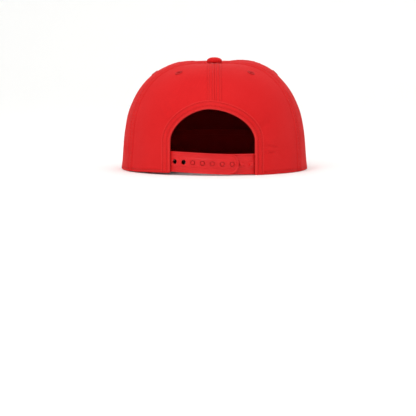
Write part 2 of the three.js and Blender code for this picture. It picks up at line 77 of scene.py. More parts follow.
def add_camera():
    a, e = math.radians(VIEW_AZIMUTH), math.radians(VIEW_ELEVATION)
    back = Vector((math.sin(a) * math.cos(e), -math.cos(a) * math.cos(e), math.sin(e)))
    right = (-back).cross(Vector((0, 0, 1))).normalized()
    up = right.cross(-back)
    subject = to_metres(SUBJECT)
    across = 0.001 * MM_PER_PIXEL * (PICTURE / 2 - SUBJECT_PIXEL[0])
    down = 0.001 * MM_PER_PIXEL * (PICTURE / 2 - SUBJECT_PIXEL[1])
    aim = subject + across * right - down * up
    data = bpy.data.cameras.new("camera")
    data.sensor_width = SENSOR
    data.lens = SENSOR * VIEW_DISTANCE / MM_PER_PIXEL / PICTURE
    camera = bpy.data.objects.new("camera", data)
    camera.location = subject + back * 0.001 * VIEW_DISTANCE
    camera.rotation_mode = "QUATERNION"
    camera.rotation_quaternion = (aim - camera.location).to_track_quat("-Z", "Y")
    bpy.context.scene.collection.objects.link(camera)
    bpy.context.scene.camera = camera
    return camera


camera = add_camera()
print("lens", round(camera.data.lens, 1), "mm")

# %% [markdown]
# Every shape starts as a grid of points worked out with numpy, which is far quicker than adding
# vertices one by one. The helpers that follow turn such a grid into a mesh, close it into a tube
# or into a skin with two sides, shade it, cut shapes out of it and fix it to the cap's one body.

# %% Mesh helpers
SHARP_ANGLE = 38  # degrees between two faces, past which their edge is drawn sharp


def make_piece(name, points, faces, material, uv=None, tone=None):
    """A mesh from a grid of points in mm. uv has a pair in mm for each, and tone some numbers."""
    mesh = bpy.data.meshes.new(name)
    mesh.from_pydata((np.reshape(points, (-1, 3)) * 0.001).tolist(), [], faces)
    piece = bpy.data.objects.new(name, mesh)
    bpy.context.scene.collection.objects.link(piece)
    if uv is not None:
        corner_vertex = np.zeros(len(mesh.loops), np.int32)
        mesh.loops.foreach_get("vertex_index", corner_vertex)
        layer = mesh.uv_layers.new(name="cloth")
        metres = (np.reshape(uv, (-1, 2)) * 0.001).astype(np.float32)
        layer.uv.foreach_set("vector", metres[corner_vertex].ravel())
    for key, values in (tone or {}).items():
        attribute = mesh.attributes.new(key, "FLOAT", "POINT")
        attribute.data.foreach_set("value", np.asarray(values, np.float32).ravel())
    mesh.materials.append(material)
    finish_normals(mesh)
    return piece


def finish_normals(mesh):
    """Faces out, smooth, with the sharp folds kept."""
    work = bmesh.new()
    work.from_mesh(mesh)
    bmesh.ops.recalc_face_normals(work, faces=work.faces)
    work.to_mesh(mesh)
    work.free()
    mesh.shade_smooth()
    mesh.set_sharp_from_angle(angle=math.radians(SHARP_ANGLE))


def grid_faces(rows, columns, close_rows=False, close_columns=False, start=0):
    """Quads between the points of a grid, which may close on itself either way."""
    r = np.arange(rows if close_rows else rows - 1)
    c = np.arange(columns if close_columns else columns - 1)
    r, c = [v.ravel() for v in np.meshgrid(r, c, indexing="ij")]
    r2, c2 = (r + 1) % rows, (c + 1) % columns
    quads = np.stack([r * columns + c, r * columns + c2, r2 * columns + c2, r2 * columns + c], 1)
    return (quads + start).tolist()


def tube_faces(rows, columns, start=0):
    """A tube of rings of points, with a flat face on each end."""
    first = [start + k for k in range(columns)]
    last = [start + rows * columns - 1 - k for k in range(columns)]
    return grid_faces(rows, columns, close_columns=True, start=start) + [first, last]


def skin_faces(rows, columns):
    """A ring of rows closed round a sheet, with both its ends shut by a ladder of quads."""
    faces = grid_faces(rows, columns, close_rows=True)
    for i in range(rows // 2 - 1):
        j = rows - 1 - i
        left = [i, i + 1, j - 1, j]
        faces.append([v * columns for v in left])
        faces.append([v * columns + columns - 1 for v in reversed(left)])
    return faces


def combine(piece, operation, others):
    """Takes the others' shapes out of the piece, or joins them on, and removes the others."""
    for other in others:
        change = piece.modifiers.new("combine", "BOOLEAN")
        change.object = other
        change.operation = operation
        change.solver = "EXACT"
    graph = bpy.context.evaluated_depsgraph_get()
    plain = piece.data
    piece.data = bpy.data.meshes.new_from_object(piece.evaluated_get(graph))
    piece.modifiers.clear()
    bpy.data.meshes.remove(plain)
    for other in others:
        bpy.data.objects.remove(other)
    piece.data.set_sharp_from_angle(angle=math.radians(SHARP_ANGLE))


def settle(piece, stands_for=None):
    """Fixes a piece to the cap's body, and hides the solid that it dresses."""
    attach(piece, "root")
    if stands_for:
        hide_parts(stands_for)


print("a grid of 3 by 4 points has", len(grid_faces(3, 4)), "faces, and as a tube", len(tube_faces(3, 4)))
# %% [markdown]
# The crown is one smooth form that all panels share. Seen from above it is an oval, and each of
# its meridians is a squared circle, rounder at the back and boxier at the stiff front. A place on
# it is an angle round the oval, 0 at the back seam, and a steepness, 0 at the rim and a right
# angle under the button. Folds and dents are small changes to the same formula, so neighbouring
# panels always meet.

# %% The crown's form
HALF_WIDTH = 85
HALF_LENGTH = 104
CROWN_HEIGHT = 97.4
WALL = 1.8
BACK_SQUARENESS = 3.0
SIDE_SQUARENESS = 2.9
FRONT_SQUARENESS = 3.6
FRONT_SWELL = 3.2
BACK_SWELL = 1.2
PANEL_FLATTENING = 0.5
RIM_FLARE = 1.6
RIM_FLARE_HEIGHT = 26
RIM_FLARE_SPREAD = math.radians(27)
RIM_LIFT = 1.8
BACK_SEAM = math.radians(66)
FRONT_SEAM = math.radians(120)
BRIM_END = math.radians(100)
ARCH_HALF = 39.3
RIGHT_ANGLE = math.pi / 2

# Dents: degrees round the oval, height and reach as shares of the crown's height, spread in
# degrees, and depth in mm. A negative depth is a fuller place.
DENTS = [
    dict(around=148, up=0.91, spread=44, reach=0.085, depth=0.9),
    dict(around=-104, up=0.95, spread=60, reach=0.13, depth=-2.52),
    dict(around=60, up=0.27, spread=15, reach=0.3, depth=1.08),
    dict(around=-46, up=0.18, spread=12, reach=0.28, depth=1.26),
    dict(around=-34, up=0.42, spread=10, reach=0.14, depth=0.9),
]

# The dents fade between these shares of the way out from the button, which sits on even cloth.
DENTLESS_REACH = 0.09
DENTED_REACH = 0.32

# Creases: as above, but with a half length and a half width in mm, and a slant in degrees.
CREASES = [
    dict(around=-38, up=0.26, long=13, wide=2.2, slant=6, depth=0.9),
    dict(around=-37, up=0.2, long=10, wide=1.8, slant=-4, depth=0.75),
    dict(around=-45, up=0.17, long=7, wide=2.5, slant=20, depth=0.7),
    dict(around=-35, up=0.46, long=8, wide=3.0, slant=-30, depth=0.55),
    dict(around=33, up=0.6, long=9, wide=3.0, slant=40, depth=0.45),
    dict(around=72, up=0.22, long=10, wide=4.0, slant=75, depth=0.8),
    dict(around=84, up=0.5, long=16, wide=5.0, slant=-65, depth=0.6),
    dict(around=-80, up=0.55, long=18, wide=5.0, slant=60, depth=0.6),
]


def hump(x):
    """One smooth hill between -1 and 1, and nothing outside."""
    return np.where(np.abs(x) < 1, (1 + np.cos(np.pi * np.clip(x, -1, 1))) / 2, 0)


def ramp(x, low, high):
    """Climbs smoothly from 0 to 1 between low and high."""
    t = np.clip((x - low) / (high - low), 0, 1)
    return t * t * (3 - 2 * t)


def bell(x, width):
    """A smooth hill of height 1 that has nearly gone two widths away."""
    return np.exp(-((x / width) ** 2))


def blend(a, b, t):
    return a + (b - a) * t


def turned(angle):
    """The same angle, between minus and plus half a turn."""
    return np.arctan2(np.sin(angle), np.cos(angle))


def squareness(angle):
    """How boxy the crown's meridian is: 2 is a round one."""
    to_back = np.cos(angle)
    end = np.where(to_back > 0, BACK_SQUARENESS, FRONT_SQUARENESS)
    return blend(SIDE_SQUARENESS, end, to_back**2)


def flattening(angle):
    """How far the middle of each soft panel lies inside the oval, in mm."""
    away = np.abs(turned(angle))
    back = np.sin(np.pi * away / BACK_SEAM) ** 2
    side = np.sin(np.pi * (away - BACK_SEAM) / (FRONT_SEAM - BACK_SEAM)) ** 2
    return PANEL_FLATTENING * np.where(away < BACK_SEAM, back, np.where(away > FRONT_SEAM, 0, side))


def dent_depth(angle, up, reach):
    depth = 0
    for dent in DENTS:
        across = turned(angle - math.radians(dent["around"])) / math.radians(dent["spread"])
        depth = depth + dent["depth"] * hump(across) * hump((up - dent["up"]) / dent["reach"])
    depth = depth * ramp(reach, DENTLESS_REACH, DENTED_REACH)
    for crease in CREASES:
        x = turned(angle - math.radians(crease["around"])) * HALF_WIDTH
        y = (up - crease["up"]) * CROWN_HEIGHT
        slant = math.radians(crease["slant"])
        along = (x * math.cos(slant) + y * math.sin(slant)) / crease["long"]
        across = (y * math.cos(slant) - x * math.sin(slant)) / crease["wide"]
        # The cloth that a crease takes in stands up a little on both its sides.
        valley = hump(across) - 0.45 * hump((np.abs(across) - 1.3) / 0.9)
        depth = depth + crease["depth"] * hump(along) * valley
    return depth


def crown_point(angle, steepness):
    """The point of the crown's cloth at an angle and a steepness."""
    power = squareness(angle)
    c, s = np.maximum(np.cos(steepness), 0), np.maximum(np.sin(steepness), 0)
    size = (c**power + s**power) ** (1 / power)
    reach, up = c / size, s / size
    away = np.abs(turned(angle))
    to_front = ramp(away, BACK_SEAM / 2, FRONT_SEAM)
    swell = blend(BACK_SWELL, FRONT_SWELL, to_front) * (4 * reach * (1 - reach)) ** 2
    from_tip = (away - BRIM_END) / RIM_FLARE_SPREAD
    low = np.maximum(0, 1 - up * CROWN_HEIGHT / RIM_FLARE_HEIGHT)
    flare = RIM_FLARE * hump(from_tip) * low**2
    dent = dent_depth(angle, up, reach)
    soft = flattening(angle) * 4 * up * (1 - up) + dent * reach
    x = np.sin(angle) * (HALF_WIDTH * reach + flare - soft)
    y = np.cos(angle) * (HALF_LENGTH * reach + flare - soft) + HEAD_Y
    z = CROWN_HEIGHT * up + swell - dent * (1 - reach)
    return np.stack(np.broadcast_arrays(x, y, z), -1)


def unit(v):
    return v / np.maximum(np.linalg.norm(v, axis=-1, keepdims=True), 1e-12)


def crown_normal(angle, steepness, step=2e-3):
    steep = np.clip(steepness, step, RIGHT_ANGLE - 3 * step)
    here = crown_point(angle, steep)
    round_it = crown_point(angle + step, steep) - here
    rise = crown_point(angle, steep + step) - here
    return unit(np.cross(rise, round_it))


def on_crown(angle, steepness, proud=0.0):
    """A point that stands proud of the crown's cloth, or lies below it where proud is negative."""
    angle, steepness, proud = np.broadcast_arrays(angle, steepness, proud)
    return crown_point(angle, steepness) + crown_normal(angle, steepness) * proud[..., None]


def steepness_at(angle, height):
    up = np.clip(height / CROWN_HEIGHT, 0, 0.9999)
    power = squareness(angle)
    return np.arctan2(up, (1 - up**power) ** (1 / power))


def mm_per_radian(angle, steepness, step=1e-3):
    gap = crown_point(angle + step, steepness) - crown_point(angle, steepness)
    return np.linalg.norm(gap, axis=-1) / step


print("crown spans", np.round(crown_point(np.array([RIGHT_ANGLE, 0]), 0.0), 1).tolist())

# %% [markdown]
# The rim isn't one flat ring. At the back and the sides it meets the table; in front it is sewn on
# top of the brim, which is a board bent to one radius.

# %% The rim's height
BRIM_OVERHANG = 1.7
BRIM_HALF_WIDTH = HALF_WIDTH + BRIM_OVERHANG
BRIM_ARCH = 6.5
BRIM_THICKNESS = 3
BRIM_EDGE = 1.2
SEAM_GAP = 0.3
BRIM_CONTACT = BRIM_HALF_WIDTH - BRIM_EDGE
BRIM_RADIUS = (BRIM_CONTACT**2 + BRIM_ARCH**2) / (2 * BRIM_ARCH)
ARCH_FOOT_ANGLE = math.asin(ARCH_HALF / HALF_WIDTH)
RIM_CLIMB = (math.radians(88), math.radians(97))


def brim_underside(x):
    return BRIM_ARCH - BRIM_RADIUS + np.sqrt(BRIM_RADIUS**2 - x * x)


def rim_height(angle, x):
    away = turned(angle)
    on_brim = ramp(np.abs(away), *RIM_CLIMB)
    lift = RIM_LIFT * hump((away - ARCH_FOOT_ANGLE) / (BACK_SEAM - ARCH_FOOT_ANGLE / 2)) * (away > 0)
    return blend(lift, brim_underside(x) + BRIM_THICKNESS + SEAM_GAP, on_brim)


def rim_steepness(angle):
    x = crown_point(angle, 0.0)[..., 0]
    return steepness_at(angle, rim_height(angle, x))


print("the brim is bent to a radius of", round(BRIM_RADIUS), "mm")

# %% [markdown]
# Materials. A cap of this kind is cotton twill, a weave whose threads step sideways row by row and
# so draw fine diagonal lines. Dyed red, it is matt, slightly lighter where seams and folds rub,
# and darker down in the stitch lines, where the cloth shades itself. The mesh carries two numbers
# for that, called worn and sunk, and the nodes mix the colours by them. One small function adds
# every node, so a material reads as a list of what feeds what.

# %% Material helpers
MIX_A, MIX_B, MIX_OUT = 6, 7, 2  # a Mix node's sockets for colours, which share names with others
WAVE_MM = 314.16  # at scale 1 a wave repeats every 314 mm, so a pitch in mm divides this


def linear(hex_colour):
    """An sRGB hex colour as the linear colour that the shader wants."""
    parts = [int(hex_colour[i : i + 2], 16) / 255 for i in (1, 3, 5)]
    return [v / 12.92 if v <= 0.04045 else ((v + 0.055) / 1.055) ** 2.4 for v in parts] + [1]


def new_material(name):
    material = bpy.data.materials.new(name)
    material.use_nodes = True
    material.node_tree.nodes.clear()
    return material, material.node_tree


def add(tree, kind, inputs, **settings):
    """Adds a node, sets its options, and fills its inputs with values or other nodes' outputs."""
    node = tree.nodes.new("ShaderNode" + kind)
    for name, value in settings.items():
        setattr(node, name, value)
    for name, value in inputs.items():
        if isinstance(value, bpy.types.NodeSocket):
            tree.links.new(value, node.inputs[name])
        else:
            node.inputs[name].default_value = value
    return node


def noise(tree, place, scale, detail, **more):
    inputs = {"Vector": place, "Scale": scale, "Detail": detail, **more}
    return add(tree, "TexNoise", inputs).outputs["Fac"]


def mix(tree, share, first, second):
    """The colour that lies this share of the way from the first to the second."""
    inputs = {0: share, MIX_A: first, MIX_B: second}
    return add(tree, "Mix", inputs, data_type="RGBA").outputs[MIX_OUT]


def weigh(tree, value, weight, base):
    """A number with a share of another one added to it."""
    inputs = {0: value, 1: weight, 2: base}
    return add(tree, "Math", inputs, operation="MULTIPLY_ADD").outputs[0]


def stretch(tree, value, low, high, to_low, to_high):
    """Maps the range from low to high on to another one, and cuts off what lies outside."""
    inputs = {"Value": value, "From Min": low, "From Max": high, "To Min": to_low, "To Max": to_high}
    return add(tree, "MapRange", inputs).outputs[0]


def surface(tree, height, strength, distance, inputs):
    """The shader with its inputs, over a fine relief that a height draws, and the output."""
    bump = add(tree, "Bump", {"Height": height, "Strength": strength, "Distance": distance})
    shader = add(tree, "BsdfPrincipled", {"Normal": bump.outputs["Normal"], **inputs})
    add(tree, "OutputMaterial", {"Surface": shader.outputs["BSDF"]})


print("the cloth's red is", [round(v, 3) for v in linear("#d61f21")[:3]], "in linear light")
# %% [markdown]
# Twill in detail. A leaning wave draws the diagonal, a finer one the yarns, and a noise the thick
# and thin places that cotton yarn has. Together they darken the furrows and raise the ridges, so
# the eye sees cloth and not paint. A slow noise fades the dye unevenly, as sun and washing do.

# %% Cotton twill
TWILL_PITCH = 1.15  # mm; real twill is nearer 0.6, which would be too fine to show
YARN_PITCH = 0.55
TWILL_LEAN = math.radians(32)


def cotton_twill(name, body, shade, lit, reverse):
    """Dyed cotton twill. reverse is the colour of the cloth's wrong side, inside the cap."""
    material, tree = new_material(name)
    place = add(tree, "UVMap", {}, uv_map="cloth").outputs["UV"]
    where = add(tree, "TexCoord", {}).outputs["Object"]
    lean = add(tree, "Mapping", {"Vector": place, "Rotation": (0, 0, TWILL_LEAN)}).outputs["Vector"]
    waver = {"Distortion": 1.1, "Detail": 2.0, "Detail Scale": 2.2}
    twill = add(tree, "TexWave", {"Vector": lean, "Scale": WAVE_MM / TWILL_PITCH, **waver})
    waver = {"Distortion": 0.8, "Detail": 1.0}
    across = {"Vector": place, "Scale": WAVE_MM / YARN_PITCH, **waver}
    yarn = add(tree, "TexWave", across, bands_direction="Y")
    slubs = noise(tree, place, 420.0, 3.0, Roughness=0.6)
    cloud = noise(tree, where, 26.0, 4.0, Roughness=0.55)
    weave = weigh(tree, twill.outputs["Fac"], 0.62, 0.0)
    weave = weigh(tree, yarn.outputs["Fac"], 0.18, weave)
    weave = weigh(tree, slubs, 0.5, weave)
    depth = stretch(tree, weave, 0.25, 0.95, 0.42, 0.0)
    cloth = mix(tree, depth, linear(body), linear(shade))
    faded = stretch(tree, cloud, 0.35, 0.75, 0.0, 0.28)
    cloth = mix(tree, faded, cloth, linear(lit))
    for key, colour in (("worn", lit), ("sunk", shade), ("inside", reverse)):
        share = add(tree, "Attribute", {}, attribute_name=key).outputs["Fac"]
        cloth = mix(tree, share, cloth, linear(colour))
    matt = {"Base Color": cloth, "Roughness": 0.88, "Specular IOR Level": 0.08}
    surface(tree, weave, 0.55, 0.00022, {**matt, "Sheen Weight": 0.015, "Sheen Roughness": 0.5})
    return material


crown_twill = cotton_twill("crown_cotton_twill", "#d61f21", "#b01214", "#e0302f", "#a8181a")
brim_twill = cotton_twill("brim_cotton_twill", "#d41e20", "#ae1214", "#de2f2e", "#a8181a")
hem_twill = cotton_twill("hem_cotton_twill", "#d51f21", "#ac1113", "#e53a38", "#a8181a")
band_twill = cotton_twill("sweatband_cotton_twill", "#c01a1c", "#960f11", "#cc2625", "#a61517")
button_twill = cotton_twill("button_cotton_twill", "#d82021", "#a41112", "#e43c39", "#a8181a")
print("twill ridges are", TWILL_PITCH, "mm apart")

# %% [markdown]
# Sewing thread is polyester with a soft gloss, spun from plies that wind round each other. The
# plies show as slanting lines along each stitch. The stitches' own map runs along the thread in
# its first number and round it in its second, so a slanting wave over it draws the plies.

# %% Polyester thread
PLY_PITCH = 0.55
PLY_LEAN = math.radians(40)


def polyester_thread(name, body, shade):
    material, tree = new_material(name)
    place = add(tree, "UVMap", {}, uv_map="cloth").outputs["UV"]
    lean = add(tree, "Mapping", {"Vector": place, "Rotation": (0, 0, PLY_LEAN)}).outputs["Vector"]
    wave = {"Vector": lean, "Scale": WAVE_MM / PLY_PITCH, "Distortion": 0.3}
    plies = add(tree, "TexWave", wave).outputs["Fac"]
    colour = mix(tree, plies, linear(shade), linear(body))
    surface(tree, plies, 0.5, 0.0001, {"Base Color": colour, "Roughness": 0.6, "Specular IOR Level": 0.2})
    return material


seam_thread = polyester_thread("seam_polyester_thread", "#d82827", "#b01517")
eyelet_thread = polyester_thread("eyelet_polyester_thread", "#ce1f21", "#a01113")
print("the thread's plies are", PLY_PITCH, "mm apart")

# %% [markdown]
# The snap strap is injection-moulded polyethylene, a waxy, slightly soft plastic. Its gloss is
# low and uneven, because the mould was lightly etched and because fingers have polished it where
# it is snapped shut. A trace of light passes under its skin.

# %% Moulded polyethylene
def moulded_polyethylene(name, body, shade):
    material, tree = new_material(name)
    where = add(tree, "TexCoord", {}).outputs["Object"]
    etched = noise(tree, where, 2600.0, 2.0)
    flow = noise(tree, where, 60.0, 3.0, Distortion=0.6)
    colour = mix(tree, flow, linear(shade), linear(body))
    gloss = stretch(tree, flow, 0.3, 0.7, 0.34, 0.5)
    skin = {"Base Color": colour, "Roughness": gloss, "IOR": 1.51, "Specular IOR Level": 0.25}
    under = {"Subsurface Weight": 0.06, "Subsurface Radius": (0.002, 0.0004, 0.0004)}
    surface(tree, etched, 0.12, 0.00006, {**skin, **under})
    return material


strap_plastic = moulded_polyethylene("strap_moulded_polyethylene", "#da1c1e", "#cb1416")
print("materials so far:", len(bpy.data.materials))

# %% [markdown]
# Stitches. A row of lockstitch is a chain of short threads that dive into the cloth at both ends.
# Each one is a tube with six sides that follows the row and arches over the cloth. All stitches of
# a row group are made in one go as arrays, and joined in one mesh, which keeps the scene light.

# %% Stitches
STITCH_PITCH = 2.9
STITCH_LENGTH = 2.25
THREAD_RADIUS = 0.21
STITCH_SIDES = 6
STITCH_STEPS = 5


def resample(points, distances):
    """Points at these distances along a line of points."""
    gaps = np.linalg.norm(np.diff(points, axis=0), axis=1)
    at = np.concatenate([[0], np.cumsum(gaps)])
    return np.stack([np.interp(distances, at, points[:, i]) for i in range(points.shape[1])], 1)


def line_length(points):
    return float(np.linalg.norm(np.diff(points, axis=0), axis=1).sum())


def stitch_row(line, normals):
    """Points and faces of one row of stitches along a line of points that lie on the cloth."""
    total = line_length(line)
    count = max(1, int(round(total / STITCH_PITCH)))
    pitch = total / count
    starts = (np.arange(count) + 0.5) * pitch - STITCH_LENGTH / 2
    t = np.linspace(0, 1, STITCH_STEPS)
    s = (starts[:, None] + t * STITCH_LENGTH).ravel()
    both = resample(np.concatenate([line, normals], 1), s)
    centre, normal = both[:, :3], unit(both[:, 3:])
    ahead = resample(line, s + 0.05) - resample(line, s - 0.05)
    side = unit(np.cross(ahead, normal))
    lift = np.tile(THREAD_RADIUS * (1.05 * np.sin(np.pi * t) - 0.55), count)
    thick = np.tile(THREAD_RADIUS * (0.72 + 0.28 * np.sin(np.pi * t)), count)
    turn = 2 * np.pi * np.arange(STITCH_SIDES) / STITCH_SIDES
    up, out = np.sin(turn), np.cos(turn)
    height = lift[:, None] + thick[:, None] * up
    width = thick[:, None] * out
    points = centre[:, None] + normal[:, None] * height[..., None] + side[:, None] * width[..., None]
    uv = np.stack(np.broadcast_arrays(s[:, None], turn * THREAD_RADIUS), -1)
    faces = []
    for i in range(count):
        faces += tube_faces(STITCH_STEPS, STITCH_SIDES, start=i * STITCH_STEPS * STITCH_SIDES)
    return points.reshape(-1, 3), faces, uv.reshape(-1, 2)


def stitches(name, rows, material):
    """One piece that holds several rows. Each row is a line of points and their normals."""
    points, faces, uv, start = [], [], [], 0
    for line, normals in rows:
        p, f, m = stitch_row(line, normals)
        points.append(p)
        uv.append(m)
        faces += [[v + start for v in face] for face in f]
        start += len(p)
    piece = make_piece(name, np.concatenate(points), faces, material, uv=np.concatenate(uv))
    print(name, "has", len(faces) // (2 + STITCH_SIDES * (STITCH_STEPS - 1)), "stitches")
    return piece


print("stitches are", STITCH_LENGTH, "mm long, one every", STITCH_PITCH, "mm")
# %% [markdown]
# A felled seam. Two panels are sewn face to face, their edges are pressed open, and two rows of
# topstitching on each side hold the layers flat. Seen from outside, the cloth dives into the seam
# itself, stands a little proud over the turned-in edges, dips at each row of stitches, and falls
# back where the layers end. That is a height that depends only on the distance to the seam, so one
# function draws every seam of the crown.

# %% The seam's profile
SEAM_ROWS = (1.9, 4.6)  # mm from the seam to each row of stitches
RIB_EDGE = 5.6
RIB_PROUD = 0.62
GROOVE = 0.6
DIMPLE = 0.26
PUCKER = 0.12
# Where a panel's columns lie beside its seam, in mm: close together wherever the profile bends.
RIB_COLUMNS = [0.004, 0.3, 0.65, 1.1, 1.5, 1.9, 2.3, 2.8, 3.5, 4.1, 4.6, 5.1, 5.5, 5.9, 6.4]
RIB_COLUMNS += [7.2, 8.6, 10.6, 13.4]


def seam_profile(distance):
    """How proud the cloth stands, how worn it is and how sunk, at a distance from a seam."""
    plateau = 1 - ramp(distance, RIB_EDGE - 0.35, RIB_EDGE + 0.75)
    groove = bell(distance, 0.5)
    rows = sum(bell(distance - row, 0.42) for row in SEAM_ROWS)
    proud = RIB_PROUD * plateau - GROOVE * groove - DIMPLE * rows
    crest = bell(distance - 0.95, 0.4) + bell(distance - RIB_EDGE + 0.1, 0.4)
    foot = bell(distance - RIB_EDGE - 0.7, 0.5)
    return proud, 0.4 * crest, np.clip(0.3 * groove + 0.4 * rows + 0.4 * foot, 0, 1)


def rib_strength(shrink):
    """How much of the profile is left where a panel's columns close up towards the button."""
    return 0.35 + 0.65 * shrink


print("a seam's rib stands", RIB_PROUD, "mm proud and is", 2 * RIB_EDGE, "mm wide")

# %% [markdown]
# A panel. It is a grid whose columns run from the rim up to the button. Near a seam the columns
# keep a fixed distance from it, so the seam's profile is the same all the way up; near the button,
# where the panels get narrow, they close up together. The inside is a second grid, one cloth's
# thickness further in, and a small half-round joins the two along the rim.

# %% Panels
PANEL_ROWS = 104
RIM_ROWS_MM = [0.0, 0.5, 1.0, 1.6, 2.2, 2.8, 3.4, 4.0, 4.8, 5.8]
RIM_STITCH_HEIGHT = 2.6
RIM_ROUND = 0.85
RIM_ROUND_STEPS = 5
BUTTON_HOLE = 2.5
SEAM_SHARE = 0.43  # the most of a panel that one side's seam columns take
PANEL_LENGTH = 150  # mm from the rim to the button, near enough for the weave and the puckers
FAR_FROM_SEAM = 99

PANELS = [
    dict(name="panel_back_left", start=0, end=66, columns=34, arched=True),
    dict(name="panel_side_left", start=66, end=120, columns=30, arched=False),
    dict(name="panel_front", start=120, end=240, columns=62, arched=False),
    dict(name="panel_side_right", start=-120, end=-66, columns=30, arched=False),
    dict(name="panel_back_right", start=-66, end=0, columns=34, arched=True),
]


def top_steepness(angle):
    across = np.hypot(HALF_WIDTH * np.sin(angle), HALF_LENGTH * np.cos(angle))
    reach = BUTTON_HOLE / across
    power = squareness(angle)
    return np.arctan2((1 - reach**power) ** (1 / power), reach)


def climb(angle, level):
    """The steepness at a level, from 0 on the rim to 1 at the button."""
    return blend(rim_steepness(angle), top_steepness(angle), level)


def levels():
    """Levels of a panel's rows, close together over the hem at the rim."""
    per_level = crown_point(0.9, climb(np.array(0.9), np.array(0.01)))[2] / 0.01
    hem = np.array(RIM_ROWS_MM) / per_level
    return np.concatenate([hem, np.linspace(hem[-1], 1, PANEL_ROWS - len(hem) + 1)[1:]])


def seam_angle(seam, inward, distance, level, width):
    """The angle round the oval that lies a distance inside a panel from its seam."""
    steep = climb(np.asarray(seam, float), level)
    room = SEAM_SHARE * width * mm_per_radian(seam, steep)
    shrink = np.minimum(1, room / RIB_COLUMNS[-1])
    return seam + inward * distance * shrink / mm_per_radian(seam, steep), shrink


def puckers(seam, rise, distance):
    """Small gathers that a tight thread draws along its seam, fading away from it."""
    wave = np.sin(rise * 1.02 + seam * 7) + 0.6 * np.sin(rise * 0.57 + seam * 3 + 1.3)
    return PUCKER * wave * bell(distance - 6.2, 3.4)


def panel_grid(spec):
    """Angles, heights above the cloth and tones of a panel's grid, one row for each level."""
    start, end = math.radians(spec["start"]), math.radians(spec["end"])
    width = end - start
    level = levels()[:, None]
    rib = np.array(RIB_COLUMNS)
    left, shrink_left = seam_angle(start, 1, rib, level, width)
    right, shrink_right = seam_angle(end, -1, rib, level, width)
    right = right[:, ::-1]
    share = np.linspace(0, 1, spec["columns"] + 2)[1:-1]
    middle = left[:, -1:] + (right[:, :1] - left[:, -1:]) * share
    angle = np.concatenate([left, middle, right], 1)
    distance = np.concatenate([rib, np.full(spec["columns"], FAR_FROM_SEAM), rib[::-1]])
    proud, worn, sunk = seam_profile(distance)
    seam = np.where(np.arange(len(distance)) < len(distance) / 2, start, end)
    shrink = np.minimum(shrink_left, shrink_right)
    gather = puckers(seam, level * PANEL_LENGTH, distance)
    proud = proud * rib_strength(shrink) + gather * shrink
    worn, sunk = np.broadcast_to(worn, angle.shape), np.broadcast_to(sunk, angle.shape)
    return angle, level, proud, worn, sunk, (start + end) / 2


def make_panel(spec):
    angle, level, proud, worn, sunk, middle = panel_grid(spec)
    steep = climb(angle, level)
    height = level * PANEL_LENGTH
    hem_row = bell(height - RIM_STITCH_HEIGHT, 0.5)
    hem_edge = 1 - ramp(height, 5.2, 6.6)
    proud = proud - 0.2 * hem_row + 0.12 * hem_edge
    worn = np.clip(worn + 0.3 * bell(height, 0.7), 0, 1)
    sunk = np.clip(sunk + 0.45 * hem_row, 0, 1)
    normal = crown_normal(angle, steep)
    surface_points = crown_point(angle, steep)
    outer = surface_points + normal * proud[..., None]
    inner = surface_points - normal * (WALL + 0.25 * np.clip(proud, 0, 1))[..., None]
    low = rim_height(angle[0], surface_points[0, :, 0]) + RIM_ROUND
    for side in (outer, inner):
        side[0, :, 2] = low
        side[1:4, :, 2] = np.maximum(side[1:4, :, 2], low + np.array([[0.3], [0.6], [0.9]]))
    turn = np.pi * np.arange(1, RIM_ROUND_STEPS + 1) / (RIM_ROUND_STEPS + 1)
    centre, half = (outer[0] + inner[0]) / 2, (inner[0] - outer[0]) / 2
    edge = centre + half * np.cos(turn)[:, None, None]
    edge[..., 2] -= RIM_ROUND * np.sin(turn)[:, None]
    rows = np.concatenate([inner[::-1], edge, outer])
    across = (angle - middle) * mm_per_radian(middle, steep)
    cloth = np.stack(np.broadcast_arrays(across, height), -1)
    flat = np.zeros_like(edge[..., 0])
    tone = dict(
        worn=np.concatenate([0 * worn, flat + 0.3, worn]),
        sunk=np.concatenate([0.5 * sunk, flat, sunk]),
        inside=np.concatenate([np.ones_like(worn), flat + 0.5, 0 * worn]),
    )
    uv = np.concatenate([cloth[::-1], np.repeat(cloth[:1], RIM_ROUND_STEPS, 0), cloth])
    faces = skin_faces(*rows.shape[:2])
    piece = make_piece(spec["name"] + "_twill", rows, faces, crown_twill, uv, tone)
    across_mm = np.linalg.norm(np.diff(outer, axis=1), axis=-1)[:-1]
    along_mm = np.linalg.norm(np.diff(outer, axis=0), axis=-1)[:, :-1]
    area = float((across_mm * along_mm).sum()) * 1e-6
    middle_column = along_mm[:, rows.shape[1] // 2]
    return piece, (float(across_mm[0].sum()) * 0.001, float(middle_column.sum()) * 0.001), area


print("a panel has", PANEL_ROWS, "rows on each side of its cloth")

# %% [markdown]
# The arch over the strap is cut out of both back panels with a Boolean modifier. The cutter is a
# block whose outline is the arch: straight sides, and a top made of two squared quarter circles.

# %% The arch
ARCH_HEIGHT = 60.3
ARCH_FOOT = 31
ARCH_LEAN = 3.4
ARCH_SHIFT = 1.7
ARCH_LEFT_SQUARENESS = 1.75
ARCH_RIGHT_SQUARENESS = 1.85


def arch_curve(count):
    """The arch's top in the X and Z plane, from the wearer's left to the right."""
    turn = np.linspace(0, np.pi, count)
    c, s = np.cos(turn), np.maximum(np.sin(turn), 0)
    left = c > 0
    half = ARCH_HALF - np.where(left, ARCH_LEAN, -ARCH_LEAN)
    power = np.where(left, ARCH_LEFT_SQUARENESS, ARCH_RIGHT_SQUARENESS)
    x = ARCH_SHIFT + ARCH_LEAN + half * np.sign(c) * np.abs(c) ** (2 / power)
    return np.stack([x, ARCH_FOOT + (ARCH_HEIGHT - ARCH_FOOT) * s ** (2 / power)], 1)


